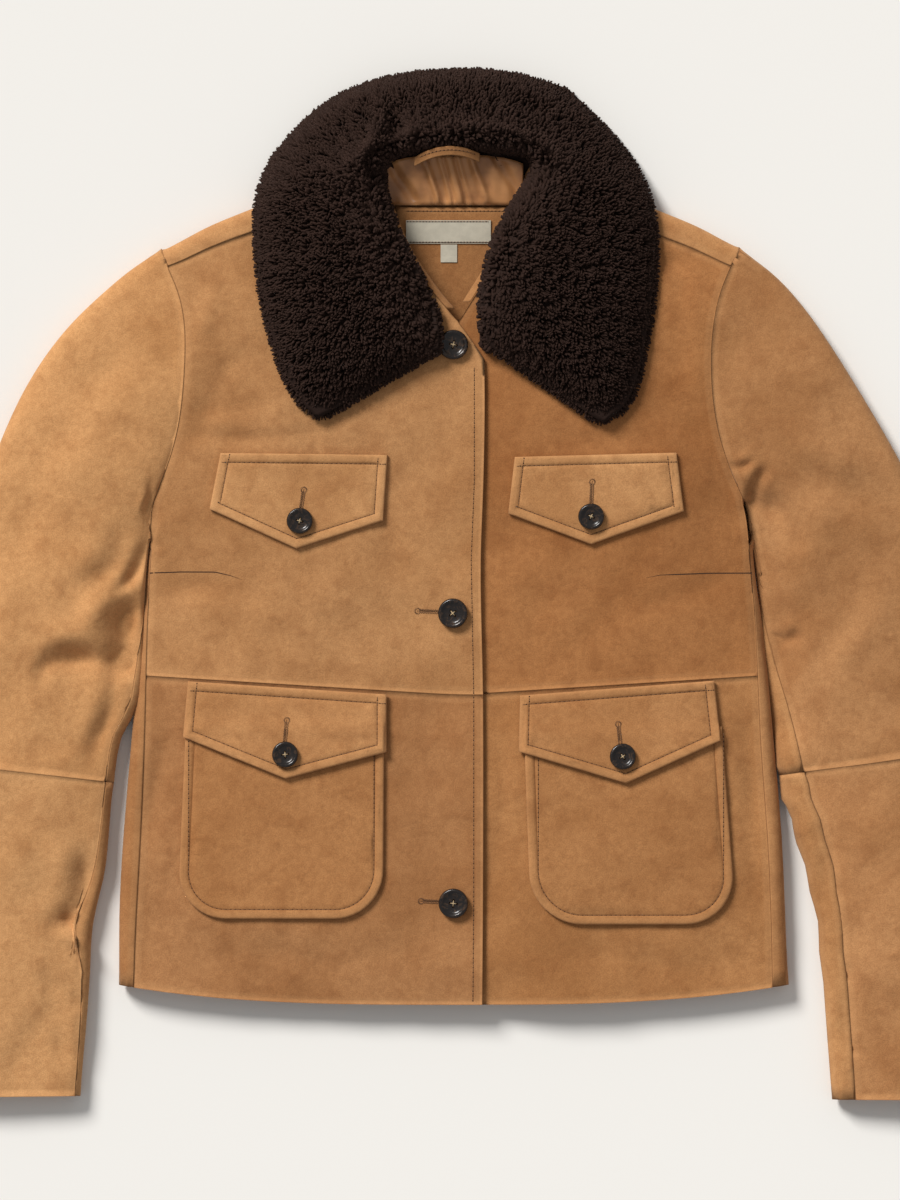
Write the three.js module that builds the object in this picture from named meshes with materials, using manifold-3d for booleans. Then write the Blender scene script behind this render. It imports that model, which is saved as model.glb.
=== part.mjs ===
// A tan suede jacket with a dark fur collar, laid flat on its back.
// Millimetres, +X towards the wearer's left, +Y towards the collar, +Z up from the surface it lies on.
// The body and the sleeves are flattened tubes of cloth: a flat underside, rounded folds at the
// edges and a gently crowned top. Every panel is a wall between an outer and an inner surface.
import * as THREE from 'three';
import Module from 'manifold-3d';
import { mergeVertices } from 'three/addons/utils/BufferGeometryUtils.js';

const wasm = await Module();
wasm.setup();

// Cloth
const SUEDE_WALL = 2;
const TRIM_WALL = 1.5;
const SEAM_GAP = 0.3;
const SIDE_SEAM_GAP = 0.5;
const ARMHOLE_GAP = 0.9;
const LAY_GAP = 0.6;
const FOLD_RADIUS = 8;
const FLAT_TOP = 2 * FOLD_RADIUS;

// Body
const BACK_NECK_Y = 266;
const BACK_NECK_RISE = 16;
const NECK_POINT_X = 52.5;
const SHOULDER_NECK_Y = 298;
const SHOULDER_SLOPE = 0.392;
const HEM_Y = -295;
const HEM_RISE = 14;
const BODY_HALF_WIDTH = 235;
const WAIST_Y = -79;
const WAIST_SLOPE = 0.068;
const UNDERARM_Y = 23;
const SHOULDER_SEAM_Y = { outer: 225.5, neck: 277 };
const OVERLAP_STEP = SUEDE_WALL + 0.8;

// Half widths of the laid body: its outer fold and its side seam, which lies on top of the fold
const BODY_ROWS = {
  right: [
    { y: -300, edge: 234, seam: 223.5 },
    { y: -254, edge: 235.3, seam: 222.5 },
    { y: -186, edge: 232, seam: 218.7 },
    { y: -105, edge: 225.5, seam: 215.5 },
    { y: -28, edge: 219.4, seam: 214 },
    { y: 23, edge: 214.5, seam: 211.2 },
    { y: 45, edge: 222, seam: 212.2 },
    { y: 80, edge: 245, seam: 220 },
    { y: 300, edge: 300, seam: 250 },
  ],
  left: [
    { y: -300, edge: 235.5, seam: 223.5 },
    { y: -254, edge: 233.8, seam: 222.9 },
    { y: -186, edge: 231.5, seam: 220.5 },
    { y: -105, edge: 224.8, seam: 214.5 },
    { y: -28, edge: 217.4, seam: 211.6 },
    { y: 23, edge: 210.6, seam: 207.2 },
    { y: 45, edge: 217, seam: 206.6 },
    { y: 80, edge: 240, seam: 214 },
    { y: 300, edge: 300, seam: 250 },
  ],
};

// Half widths of the armhole seam
const ARMHOLE_ROWS = {
  right: [
    { y: 23, x: 211.2 },
    { y: 45, x: 211.6 },
    { y: 61, x: 209.6 },
    { y: 80, x: 200.2 },
    { y: 111, x: 191.1 },
    { y: 153, x: 187.3 },
    { y: 185, x: 187 },
    { y: 210, x: 193.4 },
    { y: 226, x: 200 },
    { y: 240, x: 203.6 },
  ],
  left: [
    { y: 23, x: 207.2 },
    { y: 45, x: 206 },
    { y: 61, x: 203 },
    { y: 80, x: 193.4 },
    { y: 111, x: 183.4 },
    { y: 153, x: 179.6 },
    { y: 185, x: 181.6 },
    { y: 210, x: 188 },
    { y: 226, x: 194.4 },
    { y: 240, x: 200.4 },
  ],
};

// How high the laid body stands along its length
const BODY_LOFT = [
  { y: -300, height: 17.5 },
  { y: -240, height: 22 },
  { y: -160, height: 24 },
  { y: -79, height: 23 },
  { y: 0, height: 25 },
  { y: 120, height: 26 },
  { y: 300, height: 24 },
];

// Centre edges of the fronts: down the opening, then up along the neckline
const CENTRE_ROWS = {
  right: [
    { y: -300, x: 20.4 },
    { y: -221, x: 21 },
    { y: -79, x: 21 },
    { y: 16, x: 19.2 },
    { y: 72, x: 21.4 },
    { y: 160, x: 21.7 },
    { y: 170, x: 17 },
    { y: 186, x: 0.7 },
    { y: 205, x: -16 },
    { y: 237, x: -37 },
    { y: 277, x: -NECK_POINT_X },
  ],
  left: [
    { y: -300, x: -9 },
    { y: 158, x: -9 },
    { y: 170, x: -5 },
    { y: 186, x: 6 },
    { y: 205, x: 18 },
    { y: 237, x: 37 },
    { y: 277, x: NECK_POINT_X },
  ],
};

// Matching heights on a front's outer and centre edges, from the waist seam to the shoulder seam
const FRONT_ROWS = [
  { at: 0, outer: -64.5, centre: -77.6 },
  { at: 0.16, outer: -20, centre: -32 },
  { at: 0.31, outer: 23, centre: 16 },
  { at: 0.4, outer: 48, centre: 52 },
  { at: 0.5, outer: 78, centre: 96 },
  { at: 0.62, outer: 115, centre: 142 },
  { at: 0.74, outer: 158, centre: 178 },
  { at: 0.86, outer: 196, centre: 215 },
  { at: 1, outer: SHOULDER_SEAM_Y.outer, centre: SHOULDER_SEAM_Y.neck },
];

// Broad folds of the fronts: middle, half length along a direction in degrees, half width, and depth
const BODY_FOLDS = [
  { x: -150, y: 150, turn: 62, reach: 52, width: 15, depth: 2.2 },
  { x: -118, y: 128, turn: 75, reach: 40, width: 13, depth: -1.4 },
  { x: 148, y: 152, turn: 112, reach: 50, width: 15, depth: 2 },
  { x: 112, y: 122, turn: 100, reach: 38, width: 14, depth: -1.3 },
  { x: -190, y: 10, turn: 20, reach: 30, width: 12, depth: 1.8 },
  { x: 186, y: 14, turn: 158, reach: 34, width: 12, depth: 2 },
  { x: -30, y: 10, turn: 84, reach: 60, width: 16, depth: 1.4 },
  { x: 44, y: -30, turn: 96, reach: 55, width: 15, depth: 1.5 },
  { x: -205, y: -190, turn: 86, reach: 70, width: 14, depth: 1.6 },
  { x: 206, y: -170, turn: 96, reach: 66, width: 14, depth: 1.7 },
  { x: -22, y: -180, turn: 88, reach: 70, width: 15, depth: 1.6 },
  { x: 34, y: -200, turn: 93, reach: 60, width: 14, depth: 1.5 },
  { x: -120, y: -262, turn: 4, reach: 60, width: 13, depth: 1 },
  { x: 130, y: -265, turn: 176, reach: 55, width: 13, depth: 1.1 },
];

// Sleeve sections from the armhole to the cuff: the inner and outer folds, the height of the
// crown, and how far the lengthwise seam lies inside the inner fold. X is away from the body.
const SLEEVE_ROWS = {
  right: [
    { at: 0, innerX: 216.4, innerY: 27, outerX: 206.5, outerY: 238.5, height: 24, seam: 3 },
    { at: 0.08, innerX: 219.4, innerY: 9, outerX: 240, outerY: 209, height: 27, seam: 2 },
    { at: 0.17, innerX: 221.4, innerY: -12, outerX: 269, outerY: 182, height: 28, seam: 1.5 },
    { at: 0.26, innerX: 223.4, innerY: -34, outerX: 297, outerY: 144, height: 28, seam: 3 },
    { at: 0.36, innerX: 226, innerY: -62, outerX: 320, outerY: 94, height: 27, seam: 9 },
    { at: 0.46, innerX: 230.5, innerY: -95, outerX: 348, outerY: 16, height: 26, seam: 9 },
    { at: 0.56, innerX: 237.4, innerY: -139, outerX: 382, outerY: -122, height: 24, seam: 6 },
    { at: 0.66, innerX: 240.3, innerY: -172, outerX: 386, outerY: -165, height: 24, seam: 7 },
    { at: 0.75, innerX: 243.4, innerY: -207, outerX: 387.8, outerY: -205, height: 23, seam: 9 },
    { at: 0.8, innerX: 252, innerY: -232, outerX: 388, outerY: -232, height: 22, seam: 14 },
    { at: 0.88, innerX: 253.4, innerY: -275, outerX: 388, outerY: -275, height: 21, seam: 6 },
    { at: 1, innerX: 261, innerY: -359, outerX: 386, outerY: -360, height: 18, seam: 4 },
  ],
  left: [
    { at: 0, innerX: 212.6, innerY: 27, outerX: 203.5, outerY: 239, height: 24, seam: 3 },
    { at: 0.08, innerX: 215.8, innerY: 9, outerX: 237, outerY: 206, height: 27, seam: 2 },
    { at: 0.17, innerX: 219, innerY: -12, outerX: 262, outerY: 172, height: 28, seam: 2 },
    { at: 0.26, innerX: 221.6, innerY: -34, outerX: 287, outerY: 132, height: 28, seam: 6 },
    { at: 0.36, innerX: 224.6, innerY: -62, outerX: 313, outerY: 87, height: 27, seam: 11 },
    { at: 0.46, innerX: 229, innerY: -95, outerX: 346, outerY: 17, height: 26, seam: 16 },
    { at: 0.56, innerX: 235, innerY: -134, outerX: 381, outerY: -112, height: 24, seam: 17 },
    { at: 0.66, innerX: 238.6, innerY: -160, outerX: 385, outerY: -155, height: 24, seam: 19 },
    { at: 0.75, innerX: 248, innerY: -195, outerX: 387.2, outerY: -195, height: 23, seam: 20 },
    { at: 0.8, innerX: 256, innerY: -228, outerX: 388, outerY: -230, height: 22, seam: 16 },
    { at: 0.88, innerX: 259.6, innerY: -283, outerX: 388, outerY: -285, height: 21, seam: 17 },
    { at: 1, innerX: 265.6, innerY: -361.5, outerX: 386, outerY: -362, height: 18, seam: 16.5 },
  ],
};
const ELBOW_AT = 0.56;
const CAP_REACH = 0.3;
const BACK_SEAM_REACH = 22;

// Folds of the sleeves, with X away from the body
const SLEEVE_FOLDS = {
  right: [
    { x: 262, y: -52, turn: 158, reach: 46, width: 13, depth: 5.5 },
    { x: 228, y: 6, turn: 118, reach: 34, width: 10, depth: 3.5 },
    { x: 300, y: 60, turn: 64, reach: 60, width: 16, depth: 2.2 },
    { x: 262, y: 110, turn: 70, reach: 50, width: 16, depth: -2 },
    { x: 300, y: -150, turn: 8, reach: 50, width: 12, depth: 2.4 },
    { x: 268, y: -236, turn: 175, reach: 20, width: 9, depth: 4 },
    { x: 330, y: -240, turn: 94, reach: 60, width: 15, depth: 2 },
    { x: 352, y: -90, turn: 78, reach: 55, width: 16, depth: 2 },
  ],
  left: [
    { x: 222, y: 30, turn: 66, reach: 36, width: 11, depth: 4.5 },
    { x: 250, y: -20, turn: 30, reach: 46, width: 14, depth: 3 },
    { x: 238, y: -58, turn: 84, reach: 30, width: 10, depth: 3 },
    { x: 296, y: 66, turn: 112, reach: 60, width: 16, depth: 2.2 },
    { x: 256, y: 116, turn: 104, reach: 52, width: 16, depth: -2 },
    { x: 310, y: -146, turn: 172, reach: 48, width: 12, depth: 2.2 },
    { x: 282, y: -300, turn: 172, reach: 24, width: 9, depth: 2.6 },
    { x: 334, y: -235, turn: 86, reach: 62, width: 15, depth: 2 },
    { x: 350, y: -70, turn: 100, reach: 55, width: 16, depth: 2 },
  ],
};

// Fur collar sections from the right front's tip round the neck to the left front's tip
const COLLAR_ROWS = [
  { at: 0, innerX: -8, innerY: 162, outerX: -96, outerY: 110, pile: 13 },
  { at: 0.06, innerX: -8, innerY: 184, outerX: -115, outerY: 134, pile: 19 },
  { at: 0.14, innerX: -20, innerY: 214, outerX: -128, outerY: 168, pile: 22 },
  { at: 0.22, innerX: -34, innerY: 241, outerX: -137, outerY: 206, pile: 23 },
  { at: 0.3, innerX: -43, innerY: 265, outerX: -140, outerY: 248, pile: 24 },
  { at: 0.36, innerX: -47, innerY: 284, outerX: -136, outerY: 283, pile: 26 },
  { at: 0.41, innerX: -43, innerY: 297, outerX: -112, outerY: 319, pile: 29 },
  { at: 0.45, innerX: -28, innerY: 301.5, outerX: -72, outerY: 350, pile: 32 },
  { at: 0.5, innerX: 2, innerY: 303, outerX: 1, outerY: 362, pile: 33 },
  { at: 0.55, innerX: 34, innerY: 302, outerX: 70, outerY: 353, pile: 32 },
  { at: 0.59, innerX: 53, innerY: 298, outerX: 112, outerY: 317, pile: 29 },
  { at: 0.64, innerX: 54, innerY: 287, outerX: 136, outerY: 281, pile: 26 },
  { at: 0.7, innerX: 42, innerY: 269, outerX: 144, outerY: 246, pile: 24 },
  { at: 0.78, innerX: 30, innerY: 247, outerX: 143, outerY: 208, pile: 23 },
  { at: 0.86, innerX: 21, innerY: 220, outerX: 138, outerY: 172, pile: 22 },
  { at: 0.94, innerX: 17, innerY: 190, outerX: 127, outerY: 128, pile: 19 },
  { at: 1, innerX: 21, innerY: 166, outerX: 106, outerY: 107, pile: 13 },
];
const COLLAR_LIFT = 2.6;
const COLLAR_FALL_REACH = 30;
const COLLAR_RIM = 2.4;
const BUTTON_RISE = 6.5;

// Pockets and flaps on the panels: corners from the top outer one round to the bottom
const CHEST_FLAPS = {
  right: { top: [[-162.6, 91.3], [-45.8, 89.9]], low: [[-170.3, 52.1], [-109.6, 22.6], [-48.9, 44]] },
  left: { top: [[43.2, 88.5], [156.2, 91.5]], low: [[38.6, 49], [96.6, 25.5], [161.6, 50.5]] },
};
const POCKET_FLAPS = {
  right: { top: [[-185.5, -68.4], [-46.5, -77.6]], low: [[-189, -107.4], [-117.1, -138.5], [-46.5, -117.9]] },
  left: { top: [[46.9, -78.4], [182.7, -68]], low: [[46, -117.6], [121.1, -141.6], [187.3, -109.9]] },
};
const POCKETS = {
  right: { outer: -187, outerLow: -193, inner: -48, innerLow: -49, top: -100, bottom: -234.6, corner: 34 },
  left: { outer: 188, outerLow: 198.5, inner: 49.5, innerLow: 54.5, top: -100, bottom: -238.6, corner: 36 },
};
const FLAP_EDGE = 1.6;
const FLAP_RIM = 3.6;
const FLAP_FIELD = 2.4;
const POCKET_RIM = 3.4;
const POCKET_FIELD = 2;
const STITCH_INSET = 6.5;
const PATCH_SIZES = {
  chest: { width: 118, height: 56, edge: FLAP_EDGE, rim: FLAP_RIM, field: FLAP_FIELD },
  flap: { width: 140, height: 58, edge: FLAP_EDGE, rim: FLAP_RIM, field: FLAP_FIELD },
  pocket: { width: 142, height: 134, edge: FLAP_EDGE, rim: POCKET_RIM, field: POCKET_FIELD },
};
const POCKET_LEVELS = [0, 0.02, 0.055, 0.1, 0.16, 0.25, 0.4, 0.55, 0.7, 0.85, 0.95, 0.98, 1];

// Buttons: middles, radius, and what each lies on
const FRONT_BUTTON_RADIUS = 10.5;
const POCKET_BUTTON_RADIUS = 9.2;
const BUTTON_LIFT = 0.5;
const BUTTONS = [
  { name: 'front_button_top', x: 0.2, y: 166.9, radius: FRONT_BUTTON_RADIUS, flap: 0 },
  { name: 'front_button_middle', x: 0.2, y: -20.8, radius: FRONT_BUTTON_RADIUS, flap: 0 },
  { name: 'front_button_bottom', x: 0.6, y: -223.6, radius: FRONT_BUTTON_RADIUS, flap: 0 },
  { name: 'right_chest_button', x: -107.1, y: 43.8, radius: POCKET_BUTTON_RADIUS, flap: 1 },
  { name: 'left_chest_button', x: 96.6, y: 46.9, radius: POCKET_BUTTON_RADIUS, flap: 1 },
  { name: 'right_pocket_button', x: -117.2, y: -119.7, radius: POCKET_BUTTON_RADIUS, flap: 2 },
  { name: 'left_pocket_button', x: 118.6, y: -121.1, radius: POCKET_BUTTON_RADIUS, flap: 2 },
];

// Neck opening
const FACING_BOTTOM_Y = 158;
const STAND_X = 2;
const STAND_FROM_Y = BACK_NECK_Y - 1;
const STAND_TOP_Y = 300;
const STAND_HALF_WIDTH = 42;
const STAND_GATHERS = 11;
const STAND_BASE = 8.5;
const STAND_RISE = 8.5;
const FACING_HALF_WIDTH = { bottom: 34, top: 40 };
const LOOP = { x: -4.2, y: 294.5, half: 23, width: 6.4, thickness: 1.4, bow: 4.5 };
const STAND_WALL = 1.2;
const NECK_BAND_FROM = { right: 192, left: 197 };
const NECK_BAND_TO = 262;
const LABEL = { x: -3.2, y: 246.4, width: 59.4, height: 16.3, thickness: 0.7 };
const SIZE_TAB = { x: -2.9, y: 231.4, width: 11.5, height: 12.4, thickness: 0.6 };

const SUEDE = { colour: 0xb9855a, roughness: 0.95 };
const FUR = { colour: 0x2b1f1a, roughness: 1 };
const SATIN = { colour: 0x8e613d, roughness: 0.45 };
const WOVEN = { colour: 0xe6dcc8, roughness: 0.8 };
const HORN = { colour: 0x2a1c14, roughness: 0.3 };

const SIGN = { right: -1, left: 1 };
const jacket = new THREE.Group();

// Eases from 0 at one end to 1 at the other, whichever end is higher
function smooth(from, to, value) {
  const t = THREE.MathUtils.clamp((value - from) / (to - from), 0, 1);
  return t * t * (3 - 2 * t);
}

// Reads a column of a table at a place between its rows, as a smooth curve through them
function read(rows, key, place, column) {
  const last = rows.length - 1;
  if (place <= rows[0][key]) return rows[0][column];
  if (place >= rows[last][key]) return rows[last][column];
  let i = 0;
  while (place > rows[i + 1][key]) i += 1;
  const slope = (a, b) => (rows[b][column] - rows[a][column]) / (rows[b][key] - rows[a][key]);
  const span = rows[i + 1][key] - rows[i][key];
  const before = i > 0 ? slope(i - 1, i + 1) : slope(i, i + 1);
  const after = i + 2 <= last ? slope(i, i + 2) : slope(i, i + 1);
  const t = (place - rows[i][key]) / span;
  const rise = rows[i + 1][column] - rows[i][column];
  const a = before * span - rise;
  const b = rise - after * span;
  return rows[i][column] + t * rise + t * (1 - t) * (a * (1 - t) + b * t);
}

function hemY(x) {
  return HEM_Y + HEM_RISE * Math.pow(Math.min(Math.abs(x) / BODY_HALF_WIDTH, 1), 3);
}

function waistY(x) {
  return WAIST_Y + WAIST_SLOPE * Math.abs(x);
}

function shoulderFoldY(x) {
  return SHOULDER_NECK_Y - SHOULDER_SLOPE * Math.max(Math.abs(x) - NECK_POINT_X, 0);
}

// How far a rounded fold drops below its flat top, at an inset from the fold's outer edge
function foldDrop(inset) {
  if (inset >= FOLD_RADIUS) return 0;
  const back = FOLD_RADIUS - Math.max(inset, 0);
  return FOLD_RADIUS - Math.sqrt(FOLD_RADIUS * FOLD_RADIUS - back * back);
}

function crown(inset, reach) {
  return 1 - Math.exp(-Math.pow(Math.max(inset - FOLD_RADIUS, 0) / reach, 1.6));
}

function foldDepth(folds, x, y) {
  let depth = 0;
  for (const fold of folds) {
    const turn = THREE.MathUtils.degToRad(fold.turn);
    const dx = x - fold.x;
    const dy = y - fold.y;
    const along = (dx * Math.cos(turn) + dy * Math.sin(turn)) / fold.reach;
    const across = (dy * Math.cos(turn) - dx * Math.sin(turn)) / fold.width;
    depth += fold.depth * Math.exp(-along * along - across * across);
  }
  return depth;
}

// Height of the laid body's upper surface
function bodyTop(x, y) {
  const side = x < 0 ? 'right' : 'left';
  const inset = read(BODY_ROWS[side], 'y', y, 'edge') - Math.abs(x);
  const shoulder = shoulderFoldY(x) - y;
  const loft = (read(BODY_LOFT, 'y', y, 'height') - FLAT_TOP) * crown(inset, 55) * crown(shoulder, 40);
  const inside = smooth(0, 14, inset - FOLD_RADIUS) * smooth(0, 14, shoulder);
  return FLAT_TOP + loft - foldDrop(inset) - foldDrop(shoulder) - foldDepth(BODY_FOLDS, x, y) * inside;
}

// The under front lies a wall lower where the right one covers it
function underTop(x, y) {
  return bodyTop(x, y) - OVERLAP_STEP * (1 - smooth(25, 44, x));
}

function frontTop(side, x, y) {
  return side === 'left' ? underTop(x, y) : bodyTop(x, y);
}

function armholeX(side, y) {
  return SIGN[side] * read(ARMHOLE_ROWS[side], 'y', y, 'x');
}

function outerX(side, y) {
  if (y > UNDERARM_Y) return armholeX(side, y);
  return SIGN[side] * read(BODY_ROWS[side], 'y', y, 'seam');
}

// A closed wall between two surfaces over the same grid of places
function slab(name, upper, lower, us, vs, finish) {
  const positions = [];
  const index = [];
  const across = us.length;
  const count = across * vs.length;
  for (const surface of [upper, lower]) {
    for (const v of vs) {
      for (const u of us) positions.push(...surface(u, v).toArray());
    }
  }
  const quad = (a, b, c, d) => index.push(a, b, c, a, c, d);
  for (let j = 0; j + 1 < vs.length; j += 1) {
    for (let i = 0; i + 1 < across; i += 1) {
      const a = j * across + i;
      quad(a, a + 1, a + across + 1, a + across);
      quad(count + a, count + a + across, count + a + across + 1, count + a + 1);
    }
  }
  const rim = [];
  for (let i = 0; i < across; i += 1) rim.push(i);
  for (let j = 1; j < vs.length; j += 1) rim.push(j * across + across - 1);
  for (let i = across - 2; i >= 0; i -= 1) rim.push((vs.length - 1) * across + i);
  for (let j = vs.length - 2; j > 0; j -= 1) rim.push(j * across);
  rim.forEach((a, k) => {
    const b = rim[(k + 1) % rim.length];
    quad(a, count + a, count + b, b);
  });
  const geometry = new THREE.BufferGeometry();
  geometry.setAttribute('position', new THREE.Float32BufferAttribute(positions, 3));
  geometry.setIndex(index);
  add(name, outward(geometry), finish);
}

function volume(geometry) {
  const place = geometry.getAttribute('position');
  const index = geometry.getIndex();
  const [a, b, c] = [new THREE.Vector3(), new THREE.Vector3(), new THREE.Vector3()];
  let total = 0;
  for (let i = 0; i < index.count; i += 3) {
    a.fromBufferAttribute(place, index.getX(i));
    b.fromBufferAttribute(place, index.getX(i + 1));
    c.fromBufferAttribute(place, index.getX(i + 2));
    total += a.dot(b.cross(c)) / 6;
  }
  return total;
}

function outward(geometry) {
  if (volume(geometry) < 0) {
    const index = geometry.getIndex();
    for (let i = 0; i < index.count; i += 3) {
      const first = index.getX(i);
      index.setX(i, index.getX(i + 1));
      index.setX(i + 1, first);
    }
  }
  return geometry;
}

function add(name, geometry, finish) {
  const material = new THREE.MeshStandardMaterial({
    color: finish.colour,
    roughness: finish.roughness,
    metalness: 0,
  });
  geometry.computeVertexNormals();
  const mesh = new THREE.Mesh(geometry, material);
  mesh.name = name;
  jacket.add(mesh);
}

// A panel of cloth: its outer surface, and the same moved in by the wall's thickness. Facing is
// the side of the grid that is outside, or a point inside the tube that the panel goes round.
function panel(name, surface, us, vs, wall, facing, finish) {
  const step = 1e-3;
  const inner = (u, v) => {
    const p = surface(u, v);
    const du = surface(u + step, v).sub(surface(u - step, v));
    const dv = surface(u, v + step).sub(surface(u, v - step));
    const normal = du.cross(dv).normalize();
    const out = typeof facing === 'number' ? facing : Math.sign(normal.dot(p.clone().sub(facing(v))));
    return p.addScaledVector(normal, -wall * out);
  };
  slab(name, surface, inner, us, vs, finish);
}

function even(from, to, steps) {
  return Array.from({ length: steps + 1 }, (_, i) => from + ((to - from) * i) / steps);
}

// Fronts, above and below the waist seam
function addFront(side) {
  const facing = -SIGN[side];
  const upper = (u, v) => {
    const outerY = read(FRONT_ROWS, 'at', v, 'outer');
    const centreY = read(FRONT_ROWS, 'at', v, 'centre');
    const from = outerX(side, outerY);
    const to = read(CENTRE_ROWS[side], 'y', centreY, 'x');
    const x = THREE.MathUtils.lerp(from, to, u);
    const y = THREE.MathUtils.lerp(outerY, centreY, u);
    return new THREE.Vector3(x, y, frontTop(side, x, y));
  };
  const lower = (u, v) => {
    const edgeY = THREE.MathUtils.lerp(HEM_Y + HEM_RISE, WAIST_Y + HEM_RISE, v);
    const centreY = THREE.MathUtils.lerp(HEM_Y, WAIST_Y, v);
    const from = outerX(side, edgeY);
    const to = read(CENTRE_ROWS[side], 'y', centreY, 'x');
    const x = THREE.MathUtils.lerp(from, to, u);
    const y = THREE.MathUtils.lerp(hemY(x), waistY(x) - SEAM_GAP, v);
    return new THREE.Vector3(x, y, frontTop(side, x, y));
  };
  const columns = [0, 0.03, ...even(0.09, 1, 11)];
  panel(`${side}_front_upper`, upper, columns, even(0, 1, 12), SUEDE_WALL, facing, SUEDE);
  panel(`${side}_front_lower`, lower, columns, even(0, 1, 8), SUEDE_WALL, facing, SUEDE);
}

// A point of the body's wall, at a distance round it from the outer fold: above 0 on top
function bodyWall(side, y, round) {
  const edge = read(BODY_ROWS[side], 'y', y, 'edge');
  const quarter = (Math.PI / 2) * FOLD_RADIUS;
  const far = Math.abs(round);
  const inset = far < quarter ? FOLD_RADIUS * (1 - Math.cos(far / FOLD_RADIUS)) : FOLD_RADIUS + far - quarter;
  const x = SIGN[side] * (edge - inset);
  if (round > 0) return new THREE.Vector3(x, y, bodyTop(x, y));
  return new THREE.Vector3(x, y, foldDrop(inset));
}

function roundAt(inset) {
  if (inset >= FOLD_RADIUS) return inset - FOLD_RADIUS + (Math.PI / 2) * FOLD_RADIUS;
  return FOLD_RADIUS * Math.acos(1 - inset / FOLD_RADIUS);
}

// Where the back's edge runs: along the side seam on top, round the fold at the underarm, and
// up the armhole underneath
function backEdge(side, y) {
  const edge = read(BODY_ROWS[side], 'y', y, 'edge');
  if (y <= UNDERARM_Y) {
    return roundAt(edge - read(BODY_ROWS[side], 'y', y, 'seam') - SIDE_SEAM_GAP);
  }
  const inset = edge - Math.abs(armholeX(side, y));
  const turn = smooth(UNDERARM_Y, UNDERARM_Y + 17, y);
  return THREE.MathUtils.lerp(roundAt(inset), -roundAt(inset + ARMHOLE_GAP), turn);
}

// Back: columns run from side to side, rows from the hem up and over the shoulders
const BACK_OFFSETS = [0, 5, 10, 15.5, 21, 27, 38];
const BACK_FLAT_ROWS = [-295, -245, -186, -125, -66, -28, 2, 23, 27, 31.5, 36, 41, 52, 75, 105, 150, 195];
const SHOULDER_PARTS = [0, 0.14, 0.28, 0.4, 0.53, 0.66, 0.78, 0.89, 1];
const FOLD_PART = 0.28;
const TOP_PART = 0.78;
const NECK_COLUMNS = [NECK_POINT_X + SEAM_GAP, 38, 16, 0];
const BACK_HALF = BACK_OFFSETS.length + NECK_COLUMNS.length + 1;

// The way of a column of the back from its last flat row up and over the shoulder fold; at the
// neck it stays flat and ends at the back neckline
function shoulderPath(side, x, part) {
  const lastFlat = BACK_FLAT_ROWS[BACK_FLAT_ROWS.length - 1];
  const flatEnd = shoulderFoldY(x) - FOLD_RADIUS;
  const neck = 1 - smooth(0.76, 1, Math.abs(x) / NECK_POINT_X);
  let y = THREE.MathUtils.lerp(lastFlat, flatEnd, Math.min(part / FOLD_PART, 1));
  let z = 0;
  if (part > FOLD_PART) {
    const turn = (Math.PI * (part - FOLD_PART)) / (TOP_PART - FOLD_PART);
    y = flatEnd + FOLD_RADIUS * Math.sin(turn);
    z = FOLD_RADIUS * (1 - Math.cos(turn));
  }
  if (part > TOP_PART) {
    const outer = armholeX(side, SHOULDER_SEAM_Y.outer);
    const along = (x - outer) / (SIGN[side] * NECK_POINT_X - outer);
    const seam = LAY_GAP + THREE.MathUtils.lerp(SHOULDER_SEAM_Y.outer, SHOULDER_SEAM_Y.neck, along);
    y = THREE.MathUtils.lerp(flatEnd, seam, (part - TOP_PART) / (1 - TOP_PART));
    z = bodyTop(x, y);
  }
  const neckEnd = BACK_NECK_Y + BACK_NECK_RISE * Math.pow(Math.abs(x) / NECK_POINT_X, 3);
  const neckY = THREE.MathUtils.lerp(lastFlat, neckEnd, part);
  return { y: THREE.MathUtils.lerp(y, neckY, neck), z: THREE.MathUtils.lerp(z, 0, neck) };
}

function backPoint(column, row) {
  const side = column < BACK_HALF ? 'right' : 'left';
  const k = column < BACK_HALF ? column : 2 * BACK_HALF - column;
  const lastRow = BACK_FLAT_ROWS.length - 1;
  const rowY = pick(BACK_FLAT_ROWS, Math.min(row, lastRow));
  const fromEdge = backEdge(side, rowY);
  const offset = pick(BACK_OFFSETS, Math.min(k, BACK_OFFSETS.length - 1));
  const point = bodyWall(side, rowY, fromEdge - offset);
  if (k > BACK_OFFSETS.length - 1) {
    const innermost = Math.abs(point.x);
    const between = [0.4, 0.75].map((part) => THREE.MathUtils.lerp(innermost, NECK_COLUMNS[0], part));
    point.x = SIGN[side] * pick([innermost, ...between, ...NECK_COLUMNS], k - BACK_OFFSETS.length + 1);
    point.z = 0;
  }
  if (rowY < WAIST_Y) point.y += ((hemY(point.x) - HEM_Y) * (WAIST_Y - rowY)) / (WAIST_Y - HEM_Y);
  if (row <= lastRow) return point;
  const part = pick(SHOULDER_PARTS, row - lastRow);
  const edge = Math.abs(armholeX(side, rowY));
  const edgeY = shoulderPath(side, SIGN[side] * edge, part).y;
  const wide = (Math.abs(armholeX(side, edgeY)) - LAY_GAP) / edge;
  const x = point.x * THREE.MathUtils.lerp(1, wide, smooth(0.5, 1, Math.abs(point.x) / edge));
  const place = shoulderPath(side, x, part);
  return new THREE.Vector3(x, place.y, place.z);
}

function addBack() {
  const columns = even(0, 2 * BACK_HALF, 2 * BACK_HALF);
  const lastRow = BACK_FLAT_ROWS.length + SHOULDER_PARTS.length - 2;
  panel('back', backPoint, columns, even(0, lastRow, lastRow), SUEDE_WALL, -1, SUEDE);
}

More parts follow.
